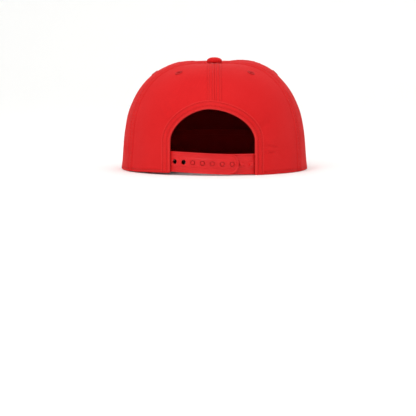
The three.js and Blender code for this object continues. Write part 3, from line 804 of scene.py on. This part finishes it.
def prism(name, outline, near, far):
    """A block with this outline in X and Z, from near to far along Y."""
    points = [[(x, y, z) for x, z in outline] for y in (near, far)]
    return make_piece(name, points, tube_faces(2, len(outline)), crown_twill)


def arch_cutter():
    feet = np.array([[ARCH_SHIFT - ARCH_HALF, -20], [ARCH_SHIFT + ARCH_HALF, -20]])
    outline = np.concatenate([feet, arch_curve(60)])
    return prism("arch_cutter", outline, HEAD_Y, HEAD_Y + 2 * HALF_LENGTH)


print("the arch is", 2 * ARCH_HALF, "mm wide and", ARCH_HEIGHT, "mm high")

# %% [markdown]
# Eyelets and snaps stand square to the cloth wherever they sit on the curve. So each is made flat,
# about its own axis, and then set on the crown by a matrix: a place and three directions, the last
# of which points straight out of the cloth.

# %% Round holes
def stand(angle, steepness, proud=0.0):
    """A place on the crown, and three axes with the last square to the cloth."""
    point = on_crown(np.array(angle), np.array(steepness), np.array(proud))
    normal = crown_normal(np.array(angle), np.array(steepness))
    side = unit(np.cross(normal, [0, 0, 1.0]))
    return point, np.stack([side, np.cross(normal, side), normal])


def place_at(points, spot):
    """Local points, with z square to the cloth, set on the crown."""
    point, axes = spot
    return points @ axes + point


def round_block(name, spot, radius, half, sides=40):
    turn = 2 * np.pi * np.arange(sides) / sides
    ring = np.stack([np.cos(turn) * radius, np.sin(turn) * radius], 1)
    points = np.concatenate([np.c_[ring, np.full(sides, z)] for z in (-half, half)])
    return make_piece(name, place_at(points, spot), tube_faces(2, sides), crown_twill)


EYELETS = [
    dict(name="eyelet_back_left", around=38.4, up=0.913),
    dict(name="eyelet_side_left", around=103, up=0.88),
    dict(name="eyelet_side_right", around=-103, up=0.88),
    dict(name="eyelet_back_right", around=-39.6, up=0.913),
]
EYELET_RADIUS = 3.5


def eyelet_spot(eyelet):
    angle = math.radians(eyelet["around"])
    steep = steepness_at(np.array(angle), np.array(eyelet["up"] * CROWN_HEIGHT))
    return stand(angle, float(steep))


print("each eyelet is", 2 * EYELET_RADIUS, "mm wide")

# %% [markdown]
# Now the five panels are made, and the arch and the eyelet holes are cut out of them, as a cutter
# would do before sewing. Each panel's flat size is printed with it, measured over the curve, along
# the rim and up the middle. The arch takes a fifth of a back panel.

for spec in PANELS:
    piece, flat_size, area = make_panel(spec)
    cutters = [arch_cutter()] if spec["arched"] else []
    for eyelet in EYELETS:
        if spec["start"] < eyelet["around"] < spec["end"]:
            cutters.append(round_block("hole_cutter", eyelet_spot(eyelet), EYELET_RADIUS - 0.6, 6))
    if cutters:
        combine(piece, "DIFFERENCE", cutters)
    settle(piece, spec["name"])
    print(piece.name, len(piece.data.polygons), "faces, cut from", [round(v, 3) for v in flat_size])

# %% [markdown]
# The hem round the arch is a folded strip of the same twill, sewn over the cut edge. Its section
# is a narrow U that wraps the edge. The section is swept along the arch: at each step it is laid
# out in the plane of the arch and then dropped on to the crown, so it follows the head's curve.

# %% Hem round the arch
HEM_WIDTH = 6.4
HEM_PROUD = 0.45
HEM_ROWS = (1.5, 5.0)
HEM_STEP = 1.1
HEM_FOOT = 0.3
HEM_TURN = 2.4  # the edge's direction is taken over this much on both sides, which rounds corners
RIB_UNDER_HEM = 0.6


def place_on_back(x, z):
    """The angle and steepness at which the back of the crown has this x and height."""
    angle = np.arcsin(np.clip(x / HALF_WIDTH, -1, 1))
    height = z.copy()
    for _ in range(14):
        steep = steepness_at(angle, height)
        here = crown_point(angle, steep)
        angle = angle + (x - here[..., 0]) / HALF_WIDTH
        height = np.clip(height + (z - here[..., 2]), 0, CROWN_HEIGHT)
    return angle, steepness_at(angle, height)


def arch_path():
    """Points along the whole edge of the arch, and the direction away from the opening."""
    top = arch_curve(400)
    left = [[ARCH_SHIFT + ARCH_HALF, z] for z in np.linspace(HEM_FOOT, ARCH_FOOT, 41)[:-1]]
    right = [[ARCH_SHIFT - ARCH_HALF, z] for z in np.linspace(ARCH_FOOT, HEM_FOOT, 41)[1:]]
    line = np.concatenate([left, top, right])
    total = line_length(line)
    along = np.linspace(0, total, int(total / HEM_STEP))
    after = resample(line, np.minimum(along + HEM_TURN, total))
    before = resample(line, np.maximum(along - HEM_TURN, 0))
    ahead = unit(after - before)
    return resample(line, along), np.stack([ahead[:, 1], -ahead[:, 0]], 1), along


def seam_under_hem(x):
    """How proud the back seam's rib stands under the hem."""
    return RIB_UNDER_HEM * seam_profile(np.abs(x))[0]


def hem_section():
    """The strip's section: distance from the edge, height over the cloth, worn and sunk."""
    rows = []
    across = [6.75, 6.5, 6.1, 5.5, 5.25, 5.0, 4.75, 4.5, 3.8, 3.0, 2.2, 1.75, 1.5, 1.25, 0.9, 0.3]
    for w in across:
        dip = sum(bell(w - row, 0.34) for row in HEM_ROWS)
        edge = 1 - ramp(w, HEM_WIDTH - 0.3, HEM_WIDTH + 0.35)
        proud = -0.12 + (HEM_PROUD + 0.12) * edge - 0.24 * dip
        worn = 0.5 * bell(w - HEM_WIDTH + 0.2, 0.4)
        foot = bell(w - HEM_WIDTH - 0.35, 0.25)
        rows.append((w, proud, worn, min(1, 0.55 * dip + 0.8 * foot)))
    # Round the folded edge, along the inside, and back out between the strip's two faces.
    rows += [(-0.3, 0.42, 0.45, 0), (-0.72, -0.1, 0.55, 0), (-0.9, -0.9, 0.4, 0)]
    rows += [(-0.72, -1.75, 0.2, 0), (-0.3, -2.3, 0, 0), (0.4, -2.5, 0, 0), (3, -2.5, 0, 0)]
    rows += [(6.2, -2.45, 0, 0), (6.5, -1.9, 0, 0.5), (3, -1.7, 0, 0), (0.2, -1.6, 0, 0)]
    rows += [(-0.1, -0.9, 0, 0), (0.2, -0.1, 0, 0), (3, -0.1, 0, 0)]
    return np.array(rows)


def make_hem():
    path, outward, along = arch_path()
    section = hem_section()
    flat = path[:, None] + outward[:, None] * section[None, :, :1]
    angle, steep = place_on_back(flat[..., 0], np.maximum(flat[..., 1], HEM_FOOT))
    rib = np.where(section[:, 1] > -0.3, seam_under_hem(flat[..., 0]), 0)
    wobble = 0.05 * np.sin(along * 1.9)[:, None] * (section[:, 1] > 0)
    points = on_crown(angle, steep, section[:, 1] + rib + wobble)
    points[..., 2] = np.maximum(points[..., 2], rim_height(angle, points[..., 0]) + HEM_FOOT)
    uv = np.stack(np.broadcast_arrays(along[:, None], section[:, 0] - section[:, 1]), -1)
    ones = np.ones((len(path), 1))
    tone = dict(worn=ones * section[:, 2], sunk=ones * section[:, 3], inside=ones * (section[:, 1] < -1.2))
    faces = tube_faces(*points.shape[:2])
    return make_piece("back_arch_hem", points, faces, hem_twill, uv, tone), along[-1]


hem, hem_length = make_hem()
settle(hem)
print("hem is", round(hem_length), "mm long")

# %% [markdown]
# Topstitching on the crown. The rows follow the same distances that the seam's profile dips at,
# so every thread lies in its own small furrow. One row also runs round the rim, where the
# sweatband is sewn in, and two run along the arch's hem.

# %% Crown stitches
CROWDED = 0.32  # the rows end where the seam's columns have closed up to this share


def seam_lines():
    rows = []
    level = np.linspace(0.03, 0.985, 260)
    for spec in PANELS:
        start, end = math.radians(spec["start"]), math.radians(spec["end"])
        for seam, inward in ((start, 1), (end, -1)):
            for distance in SEAM_ROWS:
                proud = float(seam_profile(np.array(distance))[0])
                angle, shrink = seam_angle(seam, inward, distance, level, end - start)
                steep = climb(angle, level)
                keep = shrink > CROWDED
                if seam == 0:
                    keep &= crown_point(angle, steep)[:, 2] > ARCH_HEIGHT + HEM_WIDTH
                points = on_crown(angle[keep], steep[keep], proud * rib_strength(shrink[keep]))
                rows.append((points, crown_normal(angle[keep], steep[keep])))
    return rows


def rim_line():
    edge = ARCH_FOOT_ANGLE + 0.1
    angle = np.linspace(edge, 2 * np.pi - edge, 900)
    steep = climb(angle, RIM_STITCH_HEIGHT / PANEL_LENGTH)
    return on_crown(angle, steep, -0.05), crown_normal(angle, steep)


def hem_lines():
    path, outward, _ = arch_path()
    rows = []
    for distance in HEM_ROWS:
        flat = path + outward * distance
        flat = flat[flat[:, 1] > 1.5]
        angle, steep = place_on_back(flat[:, 0], flat[:, 1])
        proud = HEM_PROUD - 0.2 + seam_under_hem(flat[:, 0])
        rows.append((on_crown(angle, steep, proud), crown_normal(angle, steep)))
    return rows


settle(stitches("crown_seam_stitches", seam_lines(), seam_thread))
settle(stitches("hem_stitches", [rim_line()] + hem_lines(), seam_thread))

# %% [markdown]
# Sewn eyelets let air in. The machine lays satin stitches like the spokes of a wheel over a small
# round hole, so the ring is a low bead with radial ridges, and each ridge is one thread.

# %% Eyelets
EYELET_HOLE = 1.25
EYELET_SPOKES = 42
EYELET_PROUD = 0.62


def make_eyelet(eyelet):
    around = EYELET_SPOKES * 6
    turn = 2 * np.pi * np.arange(around) / around
    spoke = np.abs(np.sin(turn * EYELET_SPOKES / 2))
    uneven = 1 + 0.02 * np.sin(turn * 5 + 1) + 0.015 * np.sin(turn * 11)
    profile = []
    for share in np.linspace(0, 1, 9):
        r = blend(EYELET_RADIUS, EYELET_HOLE, share)
        h = EYELET_PROUD * math.sin(math.pi * min(1, 0.12 + 0.88 * share) ** 0.8)
        profile.append((r, 0.1 + h))
    profile += [(EYELET_HOLE - 0.05, -0.5), (EYELET_HOLE, -WALL + 0.3)]
    for share in np.linspace(1, 0, 7):
        r = blend(EYELET_RADIUS, EYELET_HOLE, share)
        profile.append((r, -WALL - 0.15 - 0.5 * math.sin(math.pi * share)))
    profile.append((EYELET_RADIUS + 0.1, -WALL / 2))
    rings = []
    for r, h in profile:
        ridge = 0.09 * (spoke - 0.5) * (1 if h > 0 else -1)
        radius = r * uneven if r > EYELET_RADIUS - 0.2 else np.full(around, r)
        rings.append(np.stack([radius * np.cos(turn), radius * np.sin(turn), h + ridge], 1))
    uv = [[(r, t) for t in turn * EYELET_RADIUS] for r, _ in profile]
    points = place_at(np.array(rings), eyelet_spot(eyelet))
    faces = grid_faces(len(profile), around, close_rows=True, close_columns=True)
    piece = make_piece(eyelet["name"] + "_thread", points, faces, eyelet_thread, uv)
    settle(piece, eyelet["name"])


for eyelet in EYELETS:
    make_eyelet(eyelet)
print("eyelets", len(EYELETS), "with", EYELET_SPOKES, "stitches each")

# %% [markdown]
# The button is a small metal cap with a disc of the same twill crimped round it. The cloth is
# stretched smooth over the dome and gathers in little pleats under the edge. Its rivet passes
# through the crown and is spread on the inside, where it shows as a plain disc.

# %% Button
BUTTON_RADIUS = 7
BUTTON_SEAT = 1.1
BUTTON_HEIGHT = 4.8
BUTTON_LIP = 1.5
PLEATS = 22


def lathe(name, profile, material, sides=96, ripple=None):
    """A solid of revolution about the button's axis. ripple changes radius and height by turn."""
    turn = 2 * np.pi * np.arange(sides) / sides
    radius, height = [np.array(column)[:, None] * np.ones(sides) for column in zip(*profile)]
    if ripple:
        radius, height = ripple(radius, height, turn)
    flat = np.stack([radius * np.cos(turn), radius * np.sin(turn) + HEAD_Y], -1)
    points = np.dstack([flat, height + CROWN_HEIGHT])
    return make_piece(name, points, tube_faces(len(profile), sides), material, flat)


def pleated(radius, height, turn):
    under = np.clip((BUTTON_SEAT + BUTTON_LIP - height) / BUTTON_LIP, 0, 1)
    fold = np.abs(np.sin(turn * PLEATS / 2 + 0.4 * np.sin(turn * 3)))
    edge = ramp(radius, BUTTON_RADIUS * 0.6, BUTTON_RADIUS)
    lumps = 0.05 * np.sin(turn * 7 + radius) * np.sin(turn * 3 + 1)
    return radius - 0.28 * under * fold * edge, height + lumps * (1 - under)


def button_profile():
    profile = [(2, BUTTON_SEAT - 0.1), (6.3, BUTTON_SEAT - 0.1), (6.75, BUTTON_SEAT + 0.1)]
    profile += [(6.95, BUTTON_SEAT + 0.5), (BUTTON_RADIUS, BUTTON_SEAT + 1)]
    dome = BUTTON_HEIGHT - BUTTON_LIP
    for a in np.linspace(0, RIGHT_ANGLE, 22):
        radius = max(BUTTON_RADIUS * math.cos(a) ** 0.9, 0.06)
        profile.append((radius, BUTTON_SEAT + BUTTON_LIP + dome * math.sin(a)))
    return profile


def painted_steel(name, body, shade):
    """Zinc-plated steel under a thin coat of enamel paint, as on the hidden side of a button."""
    material, tree = new_material(name)
    where = add(tree, "TexCoord", {}).outputs["Object"]
    specks = noise(tree, where, 900.0, 3.0)
    colour = mix(tree, specks, linear(body), linear(shade))
    surface(tree, specks, 0.15, 0.0001, {"Base Color": colour, "Roughness": 0.4})
    return material


button = lathe("button_twill", button_profile(), button_twill, ripple=pleated)
settle(button, "button")
rivet_paint = painted_steel("rivet_painted_steel", "#b82426", "#9c1c1e")
rivet_profile = [(0.1, -3.1), (4.1, -3.1), (4.5, -2.9), (4.5, -2.3), (4.2, -2.1), (2.1, -2.1)]
rivet_profile += [(2.1, BUTTON_SEAT - 0.2), (0.1, BUTTON_SEAT - 0.2)]
settle(lathe("button_rivet", rivet_profile, rivet_paint, sides=48))
print("button", len(button.data.polygons), "faces")

# %% [markdown]
# The brim is a stiff board between two layers of twill. Rows of stitching run side by side from
# end to end, parallel to its edge, and quilt the cloth a little. Its outline is a squared oval.
# The height of each point depends on its true distance to that outline, so the furrows of the
# stitches stay parallel to the edge wherever the grid happens to run.

# %% Brim
BRIM_REACH = 70
BRIM_WIDEST = 52
BRIM_SQUARENESS = 2.4
BRIM_ROW_PITCH = 6.3
BRIM_FIRST_ROW = 3.2
BRIM_ROW_COUNT = 8
BRIM_COLUMNS = 220
BRIM_ROWS = 74


def brim_outline(direction, end_length):
    front = HALF_LENGTH + BRIM_REACH - BRIM_WIDEST
    c = np.cos(direction)
    across = np.abs(np.sin(direction)) / BRIM_HALF_WIDTH
    along = np.abs(c) / np.where(c > 0, front, end_length)
    radius = (across**BRIM_SQUARENESS + along**BRIM_SQUARENESS) ** (-1 / BRIM_SQUARENESS)
    return np.stack([radius * np.sin(direction), HEAD_Y - BRIM_WIDEST - radius * c], -1)


def brim_sides():
    """The brim's inner edge under the crown, and its outline, one point for each column."""
    end = crown_point(np.array(BRIM_END), np.array(0.0))
    across = (end[0] / BRIM_HALF_WIDTH) ** BRIM_SQUARENESS
    centre_y = HEAD_Y - BRIM_WIDEST
    end_length = (end[1] - centre_y) / (1 - across) ** (1 / BRIM_SQUARENESS)
    end_direction = math.atan2(end[0], centre_y - end[1])
    share = np.linspace(0, 1, BRIM_COLUMNS)
    angle = blend(BRIM_END, 2 * np.pi - BRIM_END, share)
    inner = on_crown(angle, rim_steepness(angle), -WALL)[:, :2]
    edge = brim_outline(blend(end_direction, -end_direction, share), end_length)
    return inner, edge


def distance_to(line, points):
    """The shortest distance from each point to a line of points, all in a plane."""
    best = np.full(len(points), np.inf)
    for p, q in zip(line[:-1], line[1:]):
        along = np.clip(((points - p) @ (q - p)) / ((q - p) @ (q - p)), 0, 1)
        best = np.minimum(best, np.linalg.norm(points - (p + along[:, None] * (q - p)), axis=1))
    return best


brim_inner, brim_edge = brim_sides()
brim_rows_mm = [BRIM_FIRST_ROW + BRIM_ROW_PITCH * i for i in range(BRIM_ROW_COUNT)]


def brim_grid(count):
    """Flat points from the brim's inner edge to its outline, and how far each is from the outline."""
    share = np.linspace(0, 1, count)[:, None, None]
    flat = brim_inner + (brim_edge - brim_inner) * share
    return flat, distance_to(brim_edge, flat.reshape(-1, 2)).reshape(flat.shape[:2])


def quilting(distance):
    """Height and tone of the brim's cloth at a distance from its edge."""
    rows = sum(bell(distance - row, 0.55) for row in brim_rows_mm)
    between = 0.5 - 0.5 * np.cos(2 * np.pi * (distance - BRIM_FIRST_ROW) / BRIM_ROW_PITCH)
    last = distance < brim_rows_mm[-1]
    return 0.12 * between * last - 0.2 * rows, np.clip(0.55 * rows, 0, 1)


def make_brim():
    flat, distance = brim_grid(BRIM_ROWS)
    round_off = np.clip(distance / BRIM_EDGE, 0, 1)
    half = BRIM_THICKNESS / 2 * np.sqrt(np.maximum(1 - (1 - round_off) ** 2, 0.02))
    middle = brim_underside(flat[..., 0]) + BRIM_THICKNESS / 2
    quilt, sunk = quilting(distance)
    quilt = quilt * ramp(distance, 0.8, 2.2)
    top = np.dstack([flat, middle + half + quilt])
    under = np.dstack([flat, np.maximum(middle - half - 0.6 * quilt, 0)])
    rows = np.concatenate([under[::-1], top])
    lip = bell(distance - 0.5, 0.5)
    tone = dict(
        worn=np.concatenate([0.4 * lip[::-1], 0.45 * lip]),
        sunk=np.concatenate([sunk[::-1], sunk]),
        inside=np.zeros(rows.shape[:2]),
    )
    return make_piece("brim_twill", rows, skin_faces(*rows.shape[:2]), brim_twill, rows[..., :2], tone)


def brim_stitch_lines():
    """Each row is where the columns of the brim cross one distance from the edge."""
    flat, distance = brim_grid(160)
    rows = []
    for row in brim_rows_mm:
        line = []
        for column, away in zip(flat.swapaxes(0, 1), distance.T):
            if away.max() > row + 0.4:
                line.append([np.interp(-row, -away, column[:, k]) for k in (0, 1)])
        line = np.array(line)
        slope = line[:, 0] / np.sqrt(BRIM_RADIUS**2 - line[:, 0] ** 2)
        normal = unit(np.stack([slope, 0 * slope, 0 * slope + 1], 1))
        for sign, push in ((1, BRIM_THICKNESS - 0.12), (-1, 0.12)):
            rows.append((np.c_[line, brim_underside(line[:, 0]) + push], normal * sign))
    return rows


settle(make_brim(), "brim")
settle(stitches("brim_stitches", brim_stitch_lines(), seam_thread))
print("brim reaches", BRIM_REACH, "mm in front of the crown")

# %% [markdown]
# The sweatband is a strip of softer twill inside the rim. It is folded over at its free upper
# edge, sewn once along the fold, and stands a little off the wall there, as cloth does that is
# held only at its foot. Near the arch it passes over the ends of the strap.

# %% Sweatband
BAND_HEIGHT = 32
BAND_THICKNESS = 1.2
BAND_EASE_IN = 0.5
BAND_LEAN = 0.8
BAND_FOOT = 0.6
BAND_SETBACK = 6.4
STRAP_TUCK = 11
STRAP_CLEARANCE = 0.5
STRAP_THICKNESS = 1.7
BAND_EASE = 16
BAND_COLUMNS = 300
BAND_STITCH_DOWN = 5.2  # from the folded upper edge to its row of stitches
MEAN_RADIUS = 95  # of the rim, near enough to lay out the weave
ALONG_ARCH = 1.04  # the rim is this much longer than its straight width, where it bends past the arch


def angle_along_rim(length):
    angle = np.linspace(-1.2, 1.2, 4000)
    line = crown_point(angle, 0.0)
    at = np.concatenate([[0], np.cumsum(np.linalg.norm(np.diff(line, axis=0), axis=1))])
    at -= np.interp(0, angle, at)
    return np.interp(length, at, angle)


arch_side = ARCH_HALF * ALONG_ARCH
strap_end = arch_side + STRAP_TUCK


def make_sweatband():
    start = float(angle_along_rim(arch_side + BAND_SETBACK))
    free, eased = angle_along_rim(strap_end + SEAM_GAP), angle_along_rim(strap_end + BAND_EASE)
    angle = np.linspace(start, 2 * np.pi - start, BAND_COLUMNS)
    over_strap = 1 - ramp(np.abs(turned(angle)), free, eased)
    depth = WALL + BAND_EASE_IN + over_strap * (STRAP_CLEARANCE + STRAP_THICKNESS)
    rim = rim_height(angle, crown_point(angle, 0.0)[:, 0])
    on_brim = ramp(np.abs(turned(angle)), *RIM_CLIMB)
    foot = np.maximum(rim - on_brim * (BRIM_THICKNESS + SEAM_GAP), 0) + BAND_FOOT
    share = np.concatenate([np.linspace(0, 0.82, 16), np.linspace(0.84, 1, 10)])
    height = foot + (BAND_HEIGHT - foot) * share[:, None]
    top = BAND_HEIGHT - height
    ripple = 0.22 * np.sin(angle * 23) * np.sin(angle * 7 + 1) * share[:, None]
    lean = BAND_LEAN * height / BAND_HEIGHT + np.abs(ripple)
    row = bell(top - BAND_STITCH_DOWN, 0.4)
    hem = 1 - ramp(top, 6.0, 6.8)
    round_off = np.clip(top / 0.6, 0, 1)
    half = BAND_THICKNESS / 2 * np.sqrt(np.maximum(1 - (1 - round_off) ** 2, 0.04))
    mid = depth + lean + BAND_THICKNESS / 2
    steep = steepness_at(angle, height)
    outer = on_crown(angle, steep, -(mid - half))
    inner = on_crown(angle, steep, -(mid + half - 0.12 * hem) + 0.2 * row)
    rows = np.concatenate([outer, inner[::-1]])
    cloth = np.stack(np.broadcast_arrays(angle * MEAN_RADIUS, height), -1)
    edge = bell(top, 0.6)
    tone = dict(
        worn=np.concatenate([0 * edge, 0.5 * edge[::-1]]),
        sunk=np.concatenate([0 * row, 0.7 * row[::-1]]),
        inside=np.zeros(rows.shape[:2]),
    )
    uv = np.concatenate([cloth, cloth[::-1]])
    piece = make_piece("sweatband_twill", rows, skin_faces(*rows.shape[:2]), band_twill, uv, tone)
    line_height = BAND_HEIGHT - BAND_STITCH_DOWN
    line_steep = steepness_at(angle, line_height)
    line_depth = depth + BAND_LEAN * line_height / BAND_HEIGHT + BAND_THICKNESS - 0.1
    line = on_crown(angle, line_steep, -line_depth)
    return piece, line, -crown_normal(angle, line_steep)


sweatband, band_line, band_normals = make_sweatband()
settle(sweatband, "sweatband")
settle(stitches("sweatband_stitches", [(band_line, band_normals)], seam_thread))

# %% [markdown]
# The snap strap is two moulded halves. The outer half has a lip round its edge, a raised rail
# down its middle and seven holes; the inner half is the same strip with seven pegs. A section is
# swept along the strap's line, which bends round the head, and its end is a half circle. The
# holes are cut with Boolean modifiers, and the pegs are lathed with a small round head.

# %% Strap sizes
STRAP_HEIGHT = 18.5
LIP_HEIGHT = 0.5
LIP_WIDTH = 1.3
RAIL_HEIGHT = 0.3
RAIL_WIDTH = 8
SLOPE_RUN = 0.4
STRAP_FOOT = 0.8
STRAP_RISE = 2.2
SNAP_PITCH = 9.25
SNAP_COUNT = 7
SNAPS_CLOSED = 5
HOLE_RADIUS = 2.2
PEG_RADIUS = 1.5
PEG_HEAD_RADIUS = 1.7
LAST_HOLE = -16.6
HOLE_TO_TIP = 6.6
PEG_STANDS_OUT = 0.5
outer_depth = WALL + STRAP_CLEARANCE
under_depth = outer_depth + STRAP_THICKNESS + SEAM_GAP
hole_tip = LAST_HOLE - HOLE_TO_TIP
peg_tip = LAST_HOLE + (SNAPS_CLOSED - 1) * SNAP_PITCH + HOLE_TO_TIP


def strap_level(length):
    return STRAP_FOOT + STRAP_HEIGHT / 2 + STRAP_RISE * ramp(length, hole_tip, strap_end)


def hole_depth(length):
    return np.full_like(length, outer_depth)


def peg_depth(length):
    return blend(outer_depth, under_depth, ramp(length, -ARCH_HALF, hole_tip - SEAM_GAP))


print("the strap spans", round(2 * strap_end, 1), "mm, with snaps", SNAP_PITCH, "mm apart")

# %% [markdown]
# Both halves have the same body. Its face is drawn by two distances, one to the edge for the lip
# and one to the middle for the rail, so both run neatly round the half circle at the tip. The
# inner half dives below the outer one where they overlap, as the real strap bends when it is shut.

# %% Strap bodies
def face_height(across, half, end_distance):
    """The moulded face above the strap's base: a lip at the edge, and a rail in the middle."""
    to_edge = np.minimum(half - np.abs(across), end_distance)
    lip = 1 - ramp(to_edge, LIP_WIDTH - 0.15, LIP_WIDTH + SLOPE_RUN)
    rail = 1 - ramp(np.abs(across), RAIL_WIDTH / 2 - 0.1, RAIL_WIDTH / 2 + SLOPE_RUN)
    rail = rail * ramp(end_distance, 1.6, 2.6)
    edge_round = 0.28 * (1 - np.sqrt(np.clip(1 - (1 - np.clip(to_edge / 0.3, 0, 1)) ** 2, 0, 1)))
    return np.maximum(LIP_HEIGHT * lip, RAIL_HEIGHT * rail) - edge_round


def make_strap_body(name, end, tip, depth_at):
    """A strip from its sewn end to its round tip, as a grid on two faces."""
    way = 1 if tip > end else -1
    radius = STRAP_HEIGHT / 2
    straight = abs(tip - end) - radius
    tip_part = straight + radius * np.sin(np.linspace(0, 0.495 * np.pi, 34))
    line = np.concatenate([np.linspace(0, straight, 90)[:-1], tip_part])[:, None]
    beyond = np.clip((line - straight) / radius, 0, 1)
    half = radius * np.sqrt(np.maximum(1 - beyond**2, 0.0004))
    spread = [0, 0.12, 0.24, 0.36, 0.44, 0.47, 0.5, 0.58, 0.68, 0.78, 0.83, 0.855, 0.88, 0.905, 0.95]
    spread = np.array(spread + [0.975, 0.99, 1])
    across = half * np.concatenate([-spread[::-1], spread[1:]])
    length = end + way * line + 0 * across
    from_middle = np.where(line > straight, np.hypot(line - straight, across), np.abs(across))
    face = face_height(across, radius, np.maximum(radius - from_middle, 0))
    angle = angle_along_rim(length)
    steep = steepness_at(angle, strap_level(length) + across)
    depth = depth_at(length)
    top = on_crown(angle, steep, -(depth + LIP_HEIGHT - face))
    back_round = 0.22 * (1 - np.clip((radius - from_middle) / 0.25, 0, 1))
    under = on_crown(angle, steep, -(depth + STRAP_THICKNESS - back_round))
    count, columns = top.shape[:2]
    offset = count * columns
    faces = grid_faces(count, columns) + grid_faces(count, columns, start=offset)
    rim = [r * columns for r in range(count)] + [(count - 1) * columns + c for c in range(1, columns)]
    rim += [r * columns + columns - 1 for r in range(count - 2, -1, -1)]
    rim += list(range(columns - 2, 0, -1))
    for v, w in zip(rim, rim[1:] + rim[:1]):
        faces.append([v, w, w + offset, v + offset])
    return make_piece(name, [top, under], faces, strap_plastic)


def snap_spot(length, proud):
    """Where a snap stands at this length along the strap, so far above the crown's cloth."""
    length = np.array(float(length))
    angle = angle_along_rim(length)
    return stand(float(angle), float(steepness_at(angle, strap_level(length))), proud)


print("outer half ends at", round(hole_tip, 1), "and inner half at", round(peg_tip, 1), "mm")

# %% [markdown]
# The outer half gets its seven holes. Five of them are filled by pegs in the next step, and two
# stay open on the wearer's left, where the photo shows them dark.

# %% Strap with holes
hole_strap = make_strap_body("strap_with_holes_moulded", strap_end, hole_tip, hole_depth)
hole_cutters = []
for i in range(SNAP_COUNT):
    spot = snap_spot(LAST_HOLE + i * SNAP_PITCH, -outer_depth - STRAP_THICKNESS / 2)
    hole_cutters.append(round_block("hole_cutter", spot, HOLE_RADIUS, 4, 48))
combine(hole_strap, "DIFFERENCE", hole_cutters)
settle(hole_strap, "strap_with_holes")
print("outer half", len(hole_strap.data.polygons), "faces")

# %% [markdown]
# A peg has a plain shank, wider at its foot so that it doesn't snap off, and a round head that is
# a little wider than the shank. All seven are made as one mesh and joined on to the inner half.

# %% Strap with pegs
PEG_SIDES = 40


def peg_profile():
    """Radius and height of a peg, from its foot in the strap to the middle of its head."""
    head = SEAM_GAP + STRAP_THICKNESS + PEG_STANDS_OUT - 0.9
    profile = [(PEG_RADIUS + 0.25, -0.5), (PEG_RADIUS + 0.25, 0.05), (PEG_RADIUS, 0.3), (PEG_RADIUS, head)]
    for a in np.linspace(-0.4, 0.5, 7) * np.pi:
        profile.append((PEG_HEAD_RADIUS * max(math.cos(a), 0.03) ** 0.8, head + 0.42 + 0.48 * math.sin(a)))
    return profile


def make_pegs():
    turn = 2 * np.pi * np.arange(PEG_SIDES) / PEG_SIDES
    profile = peg_profile()
    rings = np.array([np.stack([r * np.cos(turn), r * np.sin(turn), 0 * turn + h], 1) for r, h in profile])
    first_peg = LAST_HOLE - (SNAP_COUNT - SNAPS_CLOSED) * SNAP_PITCH
    points, faces = [], []
    for i in range(SNAP_COUNT):
        length = first_peg + i * SNAP_PITCH
        base = float(peg_depth(np.array(length))) + LIP_HEIGHT - RAIL_HEIGHT
        points.append(place_at(rings, snap_spot(length, -base)))
        faces += tube_faces(len(profile), PEG_SIDES, start=i * len(profile) * PEG_SIDES)
    return make_piece("pegs", points, faces, strap_plastic)


peg_strap = make_strap_body("strap_with_pegs_moulded", -strap_end, peg_tip, peg_depth)
combine(peg_strap, "UNION", [make_pegs()])
settle(peg_strap, "strap_with_pegs")
print("inner half", len(peg_strap.data.polygons), "faces")

# %% [markdown]
# The studio is a round cove: a pale floor that curves up into a wall on all sides, so no horizon
# shows from any direction. Large soft lights stand near the camera and above, which gives the
# even, bright light of a catalogue picture.

# %% Studio
FLOOR_RADIUS = 3.6
COVE_RADIUS = 1.6
WALL_TOP = 3.4
COVE_SIDES = 96


def studio_paper(name, body):
    """Matt seamless paper, with the faint fibre of the sheet."""
    material, tree = new_material(name)
    where = add(tree, "TexCoord", {}).outputs["Object"]
    fibre = noise(tree, where, 300.0, 4.0)
    surface(tree, fibre, 0.05, 0.0002, {"Base Color": linear(body), "Roughness": 0.9})
    return material


def make_cove():
    flat = FLOOR_RADIUS - COVE_RADIUS
    profile = [(r, 0) for r in (0.001, 0.3, 0.8, 1.4, flat)]
    for a in np.linspace(0, RIGHT_ANGLE, 16)[1:]:
        profile.append((flat + COVE_RADIUS * math.sin(a), COVE_RADIUS * (1 - math.cos(a))))
    profile.append((FLOOR_RADIUS, WALL_TOP))
    turn = 2 * np.pi * np.arange(COVE_SIDES) / COVE_SIDES
    points = [[(1000 * r * math.cos(t), 1000 * r * math.sin(t), 1000 * z) for t in turn] for r, z in profile]
    faces = grid_faces(len(profile), COVE_SIDES, close_columns=True) + [list(range(COVE_SIDES))]
    return make_piece("studio_cove", points, faces, studio_paper("cove_paper", "#fafaf9"))


def soft_light(name, spot, aim, size, power):
    data = bpy.data.lights.new(name, "AREA")
    data.shape = "SQUARE"
    data.size = size
    data.energy = power
    light = bpy.data.objects.new(name, data)
    light.location = spot
    light.rotation_mode = "QUATERNION"
    light.rotation_quaternion = (Vector(aim) - Vector(spot)).to_track_quat("-Z", "Y")
    bpy.context.scene.collection.objects.link(light)


make_cove()
soft_light("front_light", (0.95, 2.4, 1.8), (0, 0, 0.05), 1.1, 21)
soft_light("top_light", (0, 0.4, 2.6), (0, 0, 0), 2.2, 35)
soft_light("fill_light", (-0.2, -2.6, 1.6), (0, 0, 0.05), 1.6, 11)
world = bpy.data.worlds.new("studio_air")
bpy.context.scene.world = world
world.use_nodes = True
air = world.node_tree.nodes["Background"].inputs
air["Color"].default_value = (1, 1, 1, 1)
air["Strength"].default_value = 0.48
bpy.context.scene.view_settings.view_transform = "Standard"
bpy.context.scene.view_settings.look = "None"
print("lights", [light.name for light in bpy.data.lights])
